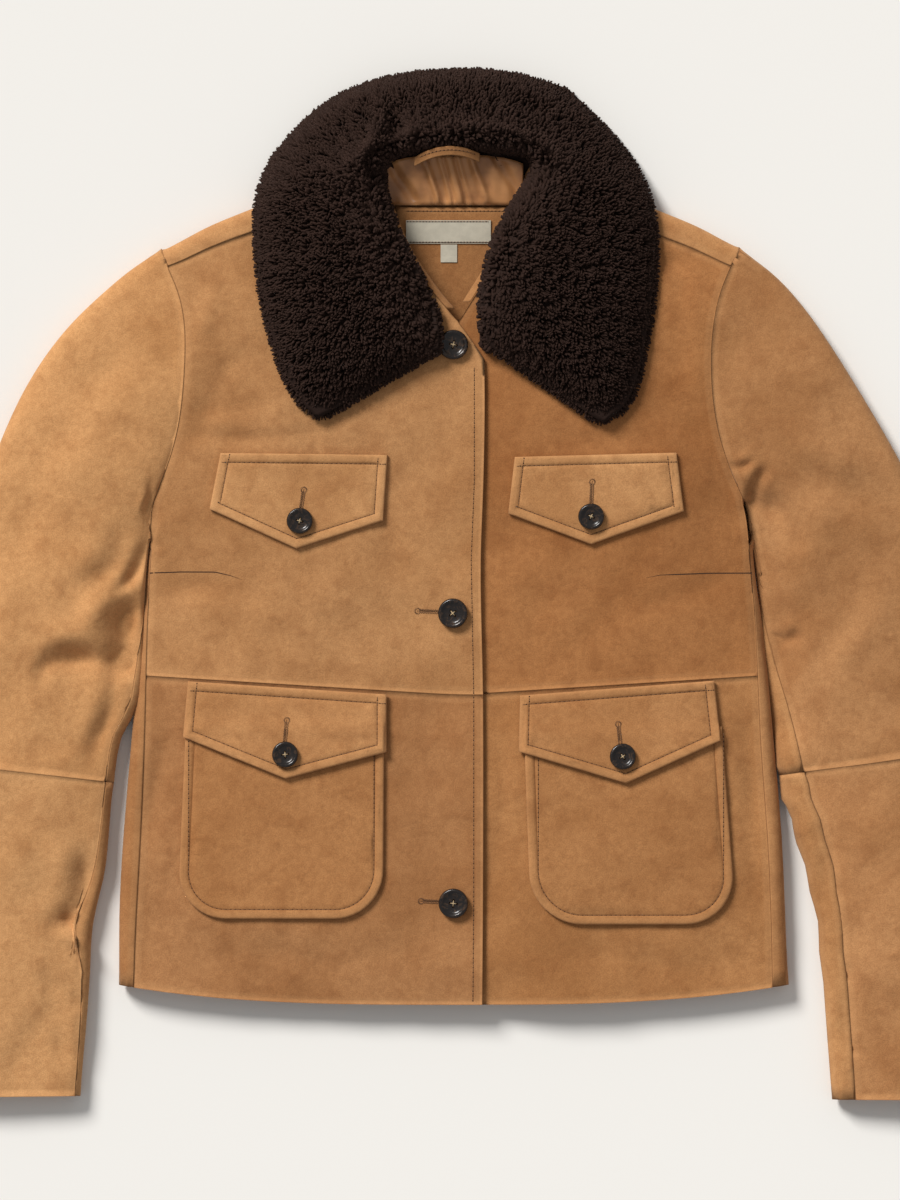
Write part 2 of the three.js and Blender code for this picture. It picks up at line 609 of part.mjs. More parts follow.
// Sleeves. A place round a section is a distance from the inner fold, above 0 over the top.
function sleeveSection(side, at) {
  const rows = SLEEVE_ROWS[side];
  const get = (column) => read(rows, 'at', at, column);
  const inner = new THREE.Vector2(SIGN[side] * get('innerX'), get('innerY'));
  const outer = new THREE.Vector2(SIGN[side] * get('outerX'), get('outerY'));
  const width = inner.distanceTo(outer);
  const half = Math.PI * FOLD_RADIUS + width - 2 * FOLD_RADIUS;
  return { inner, outer, width, half, height: get('height'), seam: get('seam') };
}

function sleevePoint(side, at, round) {
  const section = sleeveSection(side, at);
  const { width, half } = section;
  const quarter = (Math.PI / 2) * FOLD_RADIUS;
  let place = round;
  while (place > half) place -= 2 * half;
  const over = place >= 0;
  const far = Math.abs(place);
  let inset = FOLD_RADIUS + far - quarter;
  if (far < quarter) inset = FOLD_RADIUS * (1 - Math.cos(far / FOLD_RADIUS));
  if (far > half - quarter) inset = width - FOLD_RADIUS * (1 - Math.cos((half - far) / FOLD_RADIUS));
  const across = inset / width;
  const plan = section.inner.clone().lerp(section.outer, across);
  const start = sleeveSection(side, 0);
  const chord = start.inner.clone().lerp(start.outer, across);
  const seamX = armholeX(side, chord.y) + SIGN[side] * ARMHOLE_GAP;
  const cap = 1 - smooth(0, CAP_REACH, at);
  const ends = smooth(0, 0.12, across) * smooth(1, 0.96, across);
  plan.x += (seamX - chord.x) * cap * ends;
  const drop = foldDrop(inset) + foldDrop(width - inset);
  let z = drop;
  if (over) {
    const inside = smooth(0, 16, inset - FOLD_RADIUS) * smooth(0, 16, width - inset - FOLD_RADIUS);
    z = FLAT_TOP - drop + (section.height - FLAT_TOP) * 4 * across * (1 - across);
    z -= foldDepth(SLEEVE_FOLDS[side], Math.abs(plan.x), plan.y) * inside * smooth(0.02, 0.12, at);
    const body = bodyTop(seamX, chord.y);
    z += (body - z) * (1 - smooth(0, 0.1, at)) * smooth(0.04, 0.16, across) * smooth(1, 0.93, across);
  }
  return new THREE.Vector3(plan.x, plan.y, z);
}

function addSleeve(side) {
  const quarter = (Math.PI / 2) * FOLD_RADIUS;
  const core = (at) => {
    const { inner, outer } = sleeveSection(side, at);
    const middle = inner.lerp(outer, 0.5);
    return new THREE.Vector3(middle.x, middle.y, FOLD_RADIUS);
  };
  const topPlace = (u, at) => {
    const { half, seam } = sleeveSection(side, at);
    const from = roundAt(seam);
    const stops = [from, from + 6, from + 12, ...even(from + 24, half - quarter - 8, 7)];
    stops.push(half - quarter, half - 6, half, half + 6, half + quarter, half + BACK_SEAM_REACH);
    return pick(stops, u);
  };
  const underPlace = (u, at) => {
    const { half, seam } = sleeveSection(side, at);
    const to = 2 * half + roundAt(seam) - LAY_GAP;
    const stops = even(half + BACK_SEAM_REACH + LAY_GAP, 2 * half - quarter - 6, 7);
    stops.push(2 * half - quarter, 2 * half - 6, 2 * half, (2 * half + to) / 2, to);
    return pick(stops, u);
  };
  const spans = [
    { name: ['top_sleeve', 'under_sleeve'], rows: even(0, ELBOW_AT, 10) },
    { name: ['top_forearm', 'under_forearm'], rows: even(ELBOW_AT + 0.002, 1, 7) },
  ];
  for (const span of spans) {
    const top = (u, v) => sleevePoint(side, Math.max(v, 0), topPlace(u, Math.max(v, 0)));
    const under = (u, v) => sleevePoint(side, Math.max(v, 0), underPlace(u, Math.max(v, 0)));
    panel(`${side}_${span.name[0]}`, top, even(0, 16, 16), span.rows, SUEDE_WALL, core, SUEDE);
    panel(`${side}_${span.name[1]}`, under, even(0, 12, 12), span.rows, SUEDE_WALL, core, SUEDE);
  }
}

function pick(stops, place) {
  const i = Math.min(Math.max(Math.floor(place), 0), stops.length - 2);
  return THREE.MathUtils.lerp(stops[i], stops[i + 1], place - i);
}

// The surface that the collar's fall lies on: the fronts, then down behind the shoulders
function collarBed(x, y) {
  const shoulder = shoulderFoldY(x) - y;
  const button = BUTTONS[0];
  const over = BUTTON_RISE * Math.exp(-Math.pow(Math.hypot(x - button.x, y - button.y) / 22, 4));
  if (shoulder > FOLD_RADIUS + 4) return bodyTop(x, y) + over;
  return bodyTop(x, shoulderFoldY(x) - FOLD_RADIUS - 4) * smooth(-COLLAR_FALL_REACH, 2, shoulder);
}

function collarPlan(at, across) {
  const get = (column) => read(COLLAR_ROWS, 'at', at, column);
  const x = THREE.MathUtils.lerp(get('innerX'), get('outerX'), across);
  const y = THREE.MathUtils.lerp(get('innerY'), get('outerY'), across);
  return { x, y, bed: collarBed(x, y), pile: get('pile') };
}

function addCollar() {
  const furLow = (u, v) => {
    const { x, y, bed } = collarPlan(v, u);
    return new THREE.Vector3(x, y, bed + COLLAR_LIFT);
  };
  const furTop = (u, v) => {
    const { x, y, bed, pile } = collarPlan(v, u);
    const round = Math.pow(1 - Math.pow(Math.abs(2 * u - 1), 3.4), 0.55);
    const ends = Math.sqrt(smooth(-0.004, 0.05, Math.min(v, 1 - v)));
    const tufts = 1.1 * Math.sin(x * 0.21) * Math.sin(y * 0.19 + 1) * round;
    return new THREE.Vector3(x, y, bed + COLLAR_LIFT + 2 + pile * round * (1.06 - 0.22 * u) * ends + tufts);
  };
  const across = [0, 0.05, 0.2, 0.44, 0.68, 0.88, 1];
  const along = even(0, 1, 34);
  slab('fur_collar', furTop, furLow, across, along, FUR);
  const leaf = (lift) => (u, v) => {
    const { x, y, bed } = collarPlan(THREE.MathUtils.clamp(v, 0, 1), Math.max(u, 0));
    const beyond = v < 0 || v > 1 ? -COLLAR_RIM : 0;
    const point = new THREE.Vector3(x + 0.3 * beyond, y + beyond, bed + lift);
    if (u >= 0) return point;
    const neck = new THREE.Vector3(0.8 * x, BACK_NECK_Y + 1, SUEDE_WALL + lift);
    const back = smooth(0.4, 0.45, v) * smooth(0.59, 0.55, v);
    return point.add(new THREE.Vector3(-Math.sign(v - 0.5), 0, 0)).lerp(neck, back);
  };
  const rows = [-0.01, ...along, 1.01];
  slab('under_collar', leaf(COLLAR_LIFT - LAY_GAP), leaf(LAY_GAP), [-1, ...across], rows, SUEDE);
}

// Inside the back of the neck: the gathered satin stand, the suede facing, the labels and the loop
function facingTop(x, y) {
  return SUEDE_WALL + 0.5 + TRIM_WALL + 3.5 * smooth(225, 264, y);
}

// The stand's top edge, and its height between the seam with the facing and that edge
function standEdgeY(x) {
  return STAND_TOP_Y - 6 * Math.pow((x - STAND_X) / STAND_HALF_WIDTH, 4);
}

function standHeight(x, y) {
  const up = Math.max(y - STAND_FROM_Y, 0) / (standEdgeY(x) - STAND_FROM_Y);
  return STAND_BASE + STAND_RISE * Math.pow(up, 1.3);
}

function addNeck() {
  const stand = (lift) => (u, v) => {
    const x = STAND_X + STAND_HALF_WIDTH * THREE.MathUtils.lerp(-1, 1, u);
    const y = THREE.MathUtils.lerp(STAND_FROM_Y, standEdgeY(x), v);
    const wave = Math.cos(2 * Math.PI * STAND_GATHERS * u);
    const gather = 0.7 * wave * Math.sin(Math.PI * Math.min(v + 0.2, 1));
    return new THREE.Vector3(x, y, standHeight(x, y) + lift + gather);
  };
  slab('neck_stand', stand(STAND_WALL), stand(0), even(0, 1, 2 * STAND_GATHERS), even(0, 1, 3), SATIN);
  const facing = (lift) => (u, v) => {
    const y = THREE.MathUtils.lerp(FACING_BOTTOM_Y, BACK_NECK_Y - 2, v);
    const half = THREE.MathUtils.lerp(FACING_HALF_WIDTH.bottom, FACING_HALF_WIDTH.top, v);
    const x = THREE.MathUtils.lerp(-half, half, u);
    return new THREE.Vector3(x, y, facingTop(x, y) + lift);
  };
  slab('back_facing', facing(0), facing(-TRIM_WALL), even(0, 1, 6), even(0, 1, 8), SUEDE);
  for (const [name, tag] of [['neck_label', LABEL], ['size_tab', SIZE_TAB]]) {
    const sheet = (lift) => (u, v) => {
      const x = tag.x + (u - 0.5) * tag.width;
      const y = tag.y + (v - 0.5) * tag.height;
      return new THREE.Vector3(x, y, facingTop(x, y) + SEAM_GAP + lift);
    };
    slab(name, sheet(tag.thickness), sheet(0), even(0, 1, 4), even(0, 1, 3), WOVEN);
  }
  const loop = (lift) => (u, v) => {
    const turn = THREE.MathUtils.lerp(-1, 1, u);
    const x = LOOP.x + turn * LOOP.half;
    const y = LOOP.y + LOOP.bow * (1 - turn * turn) + (v - 0.5) * LOOP.width;
    return new THREE.Vector3(x, y, standHeight(x, y) + STAND_WALL + SEAM_GAP + lift);
  };
  slab('hanger_loop', loop(LOOP.thickness), loop(0), even(0, 1, 12), even(0, 1, 2), SUEDE);
  for (const side of ['right', 'left']) {
    const band = (lift) => (u, v) => {
      const y = THREE.MathUtils.lerp(NECK_BAND_FROM[side], NECK_BAND_TO, v);
      const edge = read(CENTRE_ROWS[side], 'y', y, 'x');
      const x = edge - SIGN[side] * THREE.MathUtils.lerp(1.2, 6.5, u);
      return new THREE.Vector3(x, y, frontTop(side, x, y) - 0.8 - 4 * u + lift);
    };
    slab(`${side}_neck_band`, band(0), band(-TRIM_WALL), even(0, 1, 2), even(0, 1, 8), SUEDE);
  }
}

// A sewn-on patch between an upper and a lower outline, thicker in a rim outside its stitching
function addPatch(name, place, base, size, columns, rows) {
  const top = (u, v) => {
    const p = place(u, v);
    const sides = Math.min(u, 1 - u) * size.width;
    const ends = Math.min(v, 1 - v) * size.height;
    const inset = Math.min(sides, ends);
    const rim = size.edge + (size.rim - size.edge) * smooth(0, 3, inset);
    const thick = THREE.MathUtils.lerp(rim, size.field, smooth(4, STITCH_INSET + 2, inset));
    return new THREE.Vector3(p.x, p.y, base(p.x, p.y) + LAY_GAP + thick);
  };
  const low = (u, v) => {
    const p = place(u, v);
    return new THREE.Vector3(p.x, p.y, base(p.x, p.y) + LAY_GAP);
  };
  slab(name, top, low, columns, rows, SUEDE);
}

function insets(length, middle) {
  const near = [0, 3, STITCH_INSET].map((inset) => inset / length);
  return [...near, ...even(0.13, 0.87, middle), ...near.map((part) => 1 - part).reverse()];
}

// A flap's lower edge runs to a soft point under its button
function flapPlace(flap) {
  const [[x0, y0], [x1, y1]] = flap.top;
  const [[lx, ly], [tx, ty], [rx, ry]] = flap.low;
  return (u, v) => {
    const tip = (tx - lx) / (rx - lx);
    const before = THREE.MathUtils.lerp(ly, ty, u / tip);
    const after = THREE.MathUtils.lerp(ty, ry, (u - tip) / (1 - tip));
    const straight = u < tip ? before : after;
    const soften = 2.6 * Math.exp(-Math.pow((u - tip) / 0.07, 2));
    const low = new THREE.Vector2(THREE.MathUtils.lerp(lx, rx, u), straight + soften);
    const high = new THREE.Vector2(THREE.MathUtils.lerp(x0, x1, u), THREE.MathUtils.lerp(y0, y1, u));
    return low.lerp(high, v);
  };
}

// A pocket's bottom corners are rounded
function pocketPlace(pocket) {
  return (u, v) => {
    const y = THREE.MathUtils.lerp(pocket.bottom, pocket.top, v);
    const side = THREE.MathUtils.clamp((pocket.top - y) / (pocket.top - pocket.bottom), 0, 1);
    const up = THREE.MathUtils.clamp((pocket.corner - (y - pocket.bottom)) / pocket.corner, 0, 1);
    const turn = pocket.corner * 0.62 * (1 - Math.sqrt(1 - up * up * 0.97));
    const sign = Math.sign(pocket.outer);
    const outer = THREE.MathUtils.lerp(pocket.outer, pocket.outerLow, side) - sign * turn;
    const inner = THREE.MathUtils.lerp(pocket.inner, pocket.innerLow, side) + sign * turn;
    return new THREE.Vector2(THREE.MathUtils.lerp(outer, inner, u), y);
  };
}

function pocketTop(side) {
  return (x, y) => frontTop(side, x, y) + LAY_GAP + POCKET_RIM;
}

function addPockets(side) {
  const front = (x, y) => frontTop(side, x, y);
  const { chest, pocket, flap } = PATCH_SIZES;
  const chestPlace = flapPlace(CHEST_FLAPS[side]);
  const coverPlace = flapPlace(POCKET_FLAPS[side]);
  const bagPlace = pocketPlace(POCKETS[side]);
  addPatch(`${side}_chest_flap`, chestPlace, front, chest, insets(chest.width, 4), insets(chest.height, 2));
  addPatch(`${side}_pocket`, bagPlace, front, pocket, insets(pocket.width, 4), POCKET_LEVELS);
  const flapRows = insets(flap.height, 2);
  addPatch(`${side}_pocket_flap`, coverPlace, pocketTop(side), flap, insets(flap.width, 4), flapRows);
}

// A turned button with a raised rim, a dished middle and four holes
const BUTTON_PROFILE = [
  { r: 0, z: 0 },
  { r: 0.8, z: 0 },
  { r: 1, z: 0.2 },
  { r: 0.92, z: 0.4 },
  { r: 0.78, z: 0.38 },
  { r: 0.6, z: 0.24 },
  { r: 0, z: 0.21 },
];
const BUTTON_SIDES = 16;
const HOLE_SIDES = 5;
const HOLE_RADIUS = 0.1;
const HOLE_SPREAD = 0.2;

function asManifold(geometry) {
  geometry.deleteAttribute('normal');
  geometry.deleteAttribute('uv');
  const merged = mergeVertices(geometry, 1e-4);
  const mesh = new wasm.Mesh({
    numProp: 3,
    vertProperties: new Float32Array(merged.getAttribute('position').array),
    triVerts: new Uint32Array(merged.getIndex().array),
  });
  return new wasm.Manifold(mesh);
}

function buttonGeometry(radius) {
  const profile = BUTTON_PROFILE.map(({ r, z }) => new THREE.Vector2(r * radius, z * radius));
  const disc = outward(mergeVertices(new THREE.LatheGeometry(profile, BUTTON_SIDES).rotateX(Math.PI / 2)));
  let solid = asManifold(disc);
  if (solid.volume() < 0) throw new Error('the button is inside out');
  for (let i = 0; i < 4; i += 1) {
    const hole = new THREE.CylinderGeometry(HOLE_RADIUS * radius, HOLE_RADIUS * radius, radius, HOLE_SIDES);
    const turn = (Math.PI / 2) * (i + 0.5);
    const out = HOLE_SPREAD * Math.SQRT2 * radius;
    hole.rotateX(Math.PI / 2).translate(out * Math.cos(turn), out * Math.sin(turn), 0);
    solid = solid.subtract(asManifold(hole));
  }
  const { vertProperties, triVerts } = solid.getMesh();
  const geometry = new THREE.BufferGeometry();
  geometry.setAttribute('position', new THREE.Float32BufferAttribute(vertProperties, 3));
  geometry.setIndex(Array.from(triVerts));
  return geometry;
}

function addButtons() {
  for (const { name, x, y, radius, flap } of BUTTONS) {
    const lift = BUTTON_LIFT + [0, LAY_GAP + FLAP_FIELD, 2 * LAY_GAP + POCKET_RIM + FLAP_FIELD][flap];
    const reach = radius * 0.8;
    const slopeX = (bodyTop(x + reach, y) - bodyTop(x - reach, y)) / (2 * reach);
    const slopeY = (bodyTop(x, y + reach) - bodyTop(x, y - reach)) / (2 * reach);
    const normal = new THREE.Vector3(-slopeX, -slopeY, 1).normalize();
    const turn = new THREE.Quaternion().setFromUnitVectors(new THREE.Vector3(0, 0, 1), normal);
    const geometry = buttonGeometry(radius).applyQuaternion(turn);
    geometry.translate(x, y, bodyTop(x, y) + lift);
    add(name, geometry, HORN);
  }
}

addBack();
for (const side of ['right', 'left']) {
  addFront(side);
  addSleeve(side);
  addPockets(side);
}
addCollar();
addNeck();
addButtons();

export default jacket;
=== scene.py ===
import math
from itertools import product
import bmesh
import bpy
import numpy as np
from mathutils import Matrix, Vector
from mathutils.bvhtree import BVHTree
from mathutils.kdtree import KDTree


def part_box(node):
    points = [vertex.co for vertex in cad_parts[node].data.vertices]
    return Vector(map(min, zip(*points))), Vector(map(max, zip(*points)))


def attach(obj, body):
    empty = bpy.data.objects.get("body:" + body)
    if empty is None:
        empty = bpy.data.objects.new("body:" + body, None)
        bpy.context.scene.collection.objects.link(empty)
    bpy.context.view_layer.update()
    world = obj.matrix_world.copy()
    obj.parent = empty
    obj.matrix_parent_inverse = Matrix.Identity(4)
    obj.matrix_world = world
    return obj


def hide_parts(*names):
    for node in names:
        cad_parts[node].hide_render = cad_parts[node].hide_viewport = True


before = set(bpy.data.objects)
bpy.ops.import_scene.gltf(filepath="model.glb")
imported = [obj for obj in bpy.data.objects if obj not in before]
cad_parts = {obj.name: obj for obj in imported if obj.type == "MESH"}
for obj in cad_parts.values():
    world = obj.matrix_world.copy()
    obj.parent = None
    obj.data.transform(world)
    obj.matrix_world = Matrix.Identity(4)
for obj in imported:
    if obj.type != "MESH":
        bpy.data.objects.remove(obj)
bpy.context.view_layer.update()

# Suede body: the back, two fronts parted at the waist, and two-piece sleeves with an elbow seam.
# Goat suede about 2 mm thick with its lining, cut to shape and seamed, lying in soft folds.
# Tables are in millimetres, as on a cutting table, with the jacket's own X, Y and Z.
MM = 0.001
RIM_ANGLE = math.radians(50)
CORNER_ANGLE = math.radians(24)

# Creases: x, y, direction in degrees, half length, half width, depth; a depth below 0 is a ridge
CREASES = [
    (-213, 59, 88, 11, 2.6, 2.6), (-224, 9, 52, 20, 4.4, 3.6), (-243, 16, 52, 25, 9, 2.4),
    (-240, -14, 45, 30, 9, -2.6), (-229, -38, 70, 25, 10, 8.6), (-258, -54, 8, 31, 8, 6.2),
    (-285, -61, 66, 10, 5, 2.0), (-244, -92, 78, 32, 6, 2.8), (-262, -214, 72, 27, 9, 5.2),
    (-259, -241, 163, 16, 4, 4.6), (-264, -251, 165, 15, 4.4, -2.0), (-279, -281, 118, 13, 5, 1.5),
    (-258, -297, 165, 11, 4, 2.2), (-271, -326, 145, 16, 6, 1.7), (-296, -322, 70, 30, 9, 1.3),
    (-334, -220, 84, 64, 13, 1.2), (-305, -128, 4, 44, 5, -0.9), (-292, 60, 60, 56, 13, 1.5),
    (-318, -12, 74, 52, 13, -1.5), (-252, 132, 66, 44, 12, 1.3), (203, 83, 10, 9, 3, 2.6),
    (213, 67, 82, 15, 4.6, 4.4), (233, 42, 140, 22, 8, 2.4), (233, -39, 30, 11, 4.4, 3.0),
    (229, -64, 100, 44, 9, 2.6), (262, 96, 150, 48, 11, -1.7), (268, 70, 146, 44, 11, 1.9),
    (284, -30, 58, 50, 12, -1.6), (262, -60, 64, 36, 10, 1.6), (247, -178, 10, 11, 4, 2.4),
    (259, -186, 96, 38, 7, 1.9), (262, -216, 14, 12, 4, 1.9), (268, -273, 172, 13, 3.8, 2.4),
    (271, -323, 166, 15, 4, 2.5), (276, -298, 94, 26, 6, 1.6), (336, -208, 94, 64, 13, 1.2),
    (-176, 176, 82, 36, 7, -1.0), (-166, 130, 58, 34, 8, 1.3), (-137, 103, 4, 44, 4.4, 1.4),
    (-150, 116, 12, 36, 5, -0.9), (153, 221, 130, 18, 8, 2.6), (160, 108, 132, 36, 8, 1.2),
    (170, 168, 98, 36, 7, -0.9), (104, 101, 176, 38, 5, 0.8), (-168, -6, 174, 34, 8, 1.2),
    (160, -8, 6, 32, 8, 1.2), (-40, 40, 78, 44, 13, 1.1), (52, 4, 100, 48, 13, 1.2),
    (98, -36, 24, 40, 12, 1.0), (-208, -150, 84, 60, 7, 1.1), (208, -150, 96, 58, 7, 1.3),
    (33, -150, 88, 50, 6, 0.9), (-100, -260, 2, 62, 9, 0.8), (120, -264, 178, 58, 9, 0.9),
]

# Slow swells of the whole cloth: wave length, direction in degrees, height and start
SWELLS = [
    (148, 12, 0.55, 0.4), (117, 71, 0.5, 2.1), (89, 128, 0.42, 4.0), (71, 38, 0.32, 5.2),
    (53, 98, 0.24, 1.3), (41, 156, 0.19, 3.3), (27, 63, 0.1, 0.9), (19, 17, 0.06, 2.6),
]


def ease(low, high, value):
    """A soft step from 0 to 1 between two values."""
    part = np.clip((value - low) / (high - low), 0, 1)
    return part * part * (3 - 2 * part)


def fold_lift(fold, x, y):
    """Height that one fold adds at a place: a soft uneven trough with a lip beside it."""
    fold_x, fold_y, degrees, reach, width, depth = fold
    turn = math.radians(degrees)
    dx, dy = x - fold_x, y - fold_y
    along = (dx * math.cos(turn) + dy * math.sin(turn)) / reach
    bend = 0.5 * width * np.sin(2.3 * along + fold_x)
    across = (dy * math.cos(turn) - dx * math.sin(turn) + bend) / width
    uneven = 1 + 0.3 * np.sin(4.1 * along + fold_y)
    trough = np.exp(-across * across) - 0.35 * np.exp(-((across - 1.9) ** 2) / 1.4)
    return -depth * uneven * trough * np.exp(-(along**4))


def cloth_lift(x, y):
    """Height that the creases and swells add at a place, in millimetres."""
    lift = sum(fold_lift(crease, x, y) for crease in CREASES)
    for length, degrees, height, start in SWELLS:
        turn = math.radians(degrees)
        place = (x * math.cos(turn) + y * math.sin(turn)) * 2 * math.pi / length
        lift += height * np.sin(place + start + 0.7 * np.sin(place * 0.37))
    return lift


def shape_of(mesh):
    """The mesh's points in millimetres."""
    flat = np.empty(len(mesh.vertices) * 3)
    mesh.vertices.foreach_get("co", flat)
    return flat.reshape(-1, 3) / MM


def mesh_of(name, bm):
    mesh = bpy.data.meshes.new(name)
    bm.to_mesh(mesh)
    bm.free()
    return mesh


def add_piece(name, mesh):
    piece = bpy.data.objects.new(name, mesh)
    bpy.context.collection.objects.link(piece)
    return piece


def settle(piece):
    """Makes what a piece's modifiers give its own mesh."""
    mesh = bpy.data.meshes.new_from_object(piece.evaluated_get(bpy.context.evaluated_depsgraph_get()))
    piece.modifiers.clear()
    piece.data = mesh
    return mesh


def tree_of(points):
    """A search tree that finds the nearest of some points."""
    tree = KDTree(len(points))
    for i, point in enumerate(points):
        tree.insert(point, i)
    tree.balance()
    return tree


def finer(name, bm, levels):
    """The mesh with its sharp rims kept and its faces smoothly divided, as a new object."""
    crease = bm.edges.layers.float.new("crease_edge")
    corner = bm.verts.layers.float.new("crease_vert")
    for edge in bm.edges:
        if len(edge.link_faces) == 2 and edge.calc_face_angle() > RIM_ANGLE:
            edge[crease] = 1.0
    for vert in bm.verts:
        rims = [edge.other_vert(vert).co - vert.co for edge in vert.link_edges if edge[crease] > 0]
        if len(rims) == 2 and rims[0].angle(-rims[1], 0) > CORNER_ANGLE:
            vert[corner] = 1.0
    rough = mesh_of(name, bm)
    piece = add_piece(name, rough)
    divide = piece.modifiers.new("Divide", "SUBSURF")
    divide.levels = levels
    divide.render_levels = levels
    divide.use_limit_surface = False
    fine = settle(piece)
    bpy.data.meshes.remove(rough)
    fine.name = name
    fine.shade_smooth()
    return piece


def cut_from(node, levels):
    """A copy of a solid's wall with its quads restored, on a finer mesh."""
    bm = bmesh.new()
    bm.from_mesh(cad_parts[node].data)
    bmesh.ops.remove_doubles(bm, verts=bm.verts, dist=0.02 * MM)
    flat, square = math.radians(40), math.radians(60)
    bmesh.ops.join_triangles(bm, faces=bm.faces, angle_face_threshold=flat, angle_shape_threshold=square)
    return finer(node + "_cloth", bm, levels)


def rim_points(mesh):
    """Points along the sharp rims of a wall."""
    bm = bmesh.new()
    bm.from_mesh(mesh)
    points = []
    for edge in bm.edges:
        if len(edge.link_faces) == 2 and edge.calc_face_angle() > RIM_ANGLE:
            a, b = [v.co / MM for v in edge.verts]
            points += [a, a.lerp(b, 0.33), a.lerp(b, 0.67)]
    bm.free()
    return points


def mark_edges(mesh):
    """Stores each point's distance from the panel's nearest edge, in millimetres."""
    tree = tree_of(rim_points(mesh))
    far = np.array([tree.find(Vector(p))[2] for p in shape_of(mesh)])
    attribute = mesh.attributes.new("edge_mm", "FLOAT", "POINT")
    attribute.data.foreach_set("value", far)
    return far


def set_shape(mesh, points):
    """Writes points in millimetres to a mesh, none of them below the table."""
    points[:, 2] = np.maximum(points[:, 2], 0)
    mesh.vertices.foreach_set("co", (points * MM).ravel())
    mesh.update()


# The sleeves' inner folds swell out against the body's sides: place along Y and how far
INNER_SWELL = {
    -1: [
        (50, 0), (40, 2.0), (31, 3.7), (8, 5.0), (-20, 6.4),
        (-60, 9.6), (-81, 10.4), (-94, 6.4), (-106, 1.2), (-118, 0),
    ],
    1: [
        (50, 0), (40, 1.9), (31, 3.6), (8, 4.0), (-20, 4.8), (-81, 6.6),
        (-112, 7.4), (-129, 7.6), (-140, 5.2), (-151, 6.0), (-165, 2.8), (-180, 4.2),
        (-199, 1.4), (-214, 2.8), (-236, 0.2), (-258, 1.6), (-280, 0),
    ],
}
SWELL_REACH = 62.0
ARMPIT = (214, 33)
SLEEVE_SLANT = 0.13
DIP_WIDTH = 19.0
DIP_DEPTH = {-1: 0.8, 1: 11.5}
DIP_FOOT = (-125, -95)
DIP_HEAD = (44, 84)


def swell_inwards(piece, side):
    """Moves a sleeve's inner side towards the body, and less and less across the sleeve."""
    points = shape_of(piece.data)
    x, y, z = points.T
    rows = INNER_SWELL[side][::-1]
    far = np.interp(y, [row[0] for row in rows], [row[1] for row in rows])
    inner_edge = ARMPIT[0] + SLEEVE_SLANT * np.maximum(ARMPIT[1] - y, 0)
    share = 1 - ease(0, SWELL_REACH, side * x - inner_edge)
    beside_body = np.exp(-(((side * x - inner_edge) / DIP_WIDTH) ** 2))
    along = ease(*DIP_FOOT, y) * (1 - ease(*DIP_HEAD, y))
    z = z - DIP_DEPTH[side] * beside_body * along * ease(0, 24, z)
    set_shape(piece.data, np.stack([x - side * far * share, y, z], axis=1))


SHOULDER_TIP = (202, 237)
TIP_REACH = 13.0
SHOULDER_DROP = 4.6
DROP_REACH = 24.0


def meet_at_shoulder(piece, sleeve):
    """Brings the shoulder's tip and the sleeve's head together where both fold under."""
    points = shape_of(piece.data)
    x, y, z = points.T
    far = ((abs(x) - SHOULDER_TIP[0]) ** 2 + (y - SHOULDER_TIP[1]) ** 2) / TIP_REACH**2
    near = np.exp(-far) * np.sign(x)
    across = -1.5 if sleeve else 1.2
    soft = SHOULDER_DROP * np.exp(-far * (TIP_REACH / DROP_REACH) ** 2)
    set_shape(piece.data, np.stack([x + across * near, y + 0.8 * abs(near) * sleeve - soft, z], axis=1))


SEAM_REACH = 3.8
SEAM_SPREAD = 8.0
SEAM_GAP = 0.08


def carrier(*pieces):
    """The surfaces of these pieces, which others meet or lie on."""
    points, faces = [], []
    for piece in pieces:
        start = len(points)
        points += [tuple(v.co) for v in piece.data.vertices]
        faces += [[start + i for i in face.vertices] for face in piece.data.polygons]
    return BVHTree.FromPolygons(points, faces)


def pull_seams(pieces):
    """Draws the panels' edges together, each half way, as their sewing does."""
    surfaces = [carrier(piece) for piece in pieces]
    moved = []
    for i, piece in enumerate(pieces):
        rims = rim_points(piece.data)
        pulls = []
        for point in rims:
            place = point * MM
            others = surfaces[:i] + surfaces[i + 1 :]
            near = [surface.find_nearest(place, SEAM_REACH * MM)[0] for surface in others]
            gaps = [(hit - place) / MM for hit in near if hit is not None]
            gap = min(gaps, key=lambda g: g.length, default=Vector())
            across = gap.xy.length
            if across > 0.7 * abs(gap.z) and across > SEAM_GAP:
                pulls.append(gap * 0.5 * (1 - SEAM_GAP / across))
            else:
                pulls.append(Vector())
        tree = tree_of(rims)
        points = shape_of(piece.data)
        for point in points:
            _, k, far = tree.find(Vector(point))
            if far < 2.5 * SEAM_SPREAD:
                point += np.array(pulls[k]) * math.exp(-((far / SEAM_SPREAD) ** 2))
        moved.append(points)
    for piece, points in zip(pieces, moved):
        set_shape(piece.data, points)


EDGE_SPRING = 1.7
FRONT_EDGE_SPAN = (-14, 20)
FRONT_EDGE_HEAD = (140, 165)
ROLL_DEPTH = 0.3
ROLL_WIDTH = 1.9


def normals_of(mesh):
    flat = np.empty(len(mesh.vertices) * 3)
    mesh.vertex_normals.foreach_get("vector", flat)
    return flat.reshape(-1, 3)


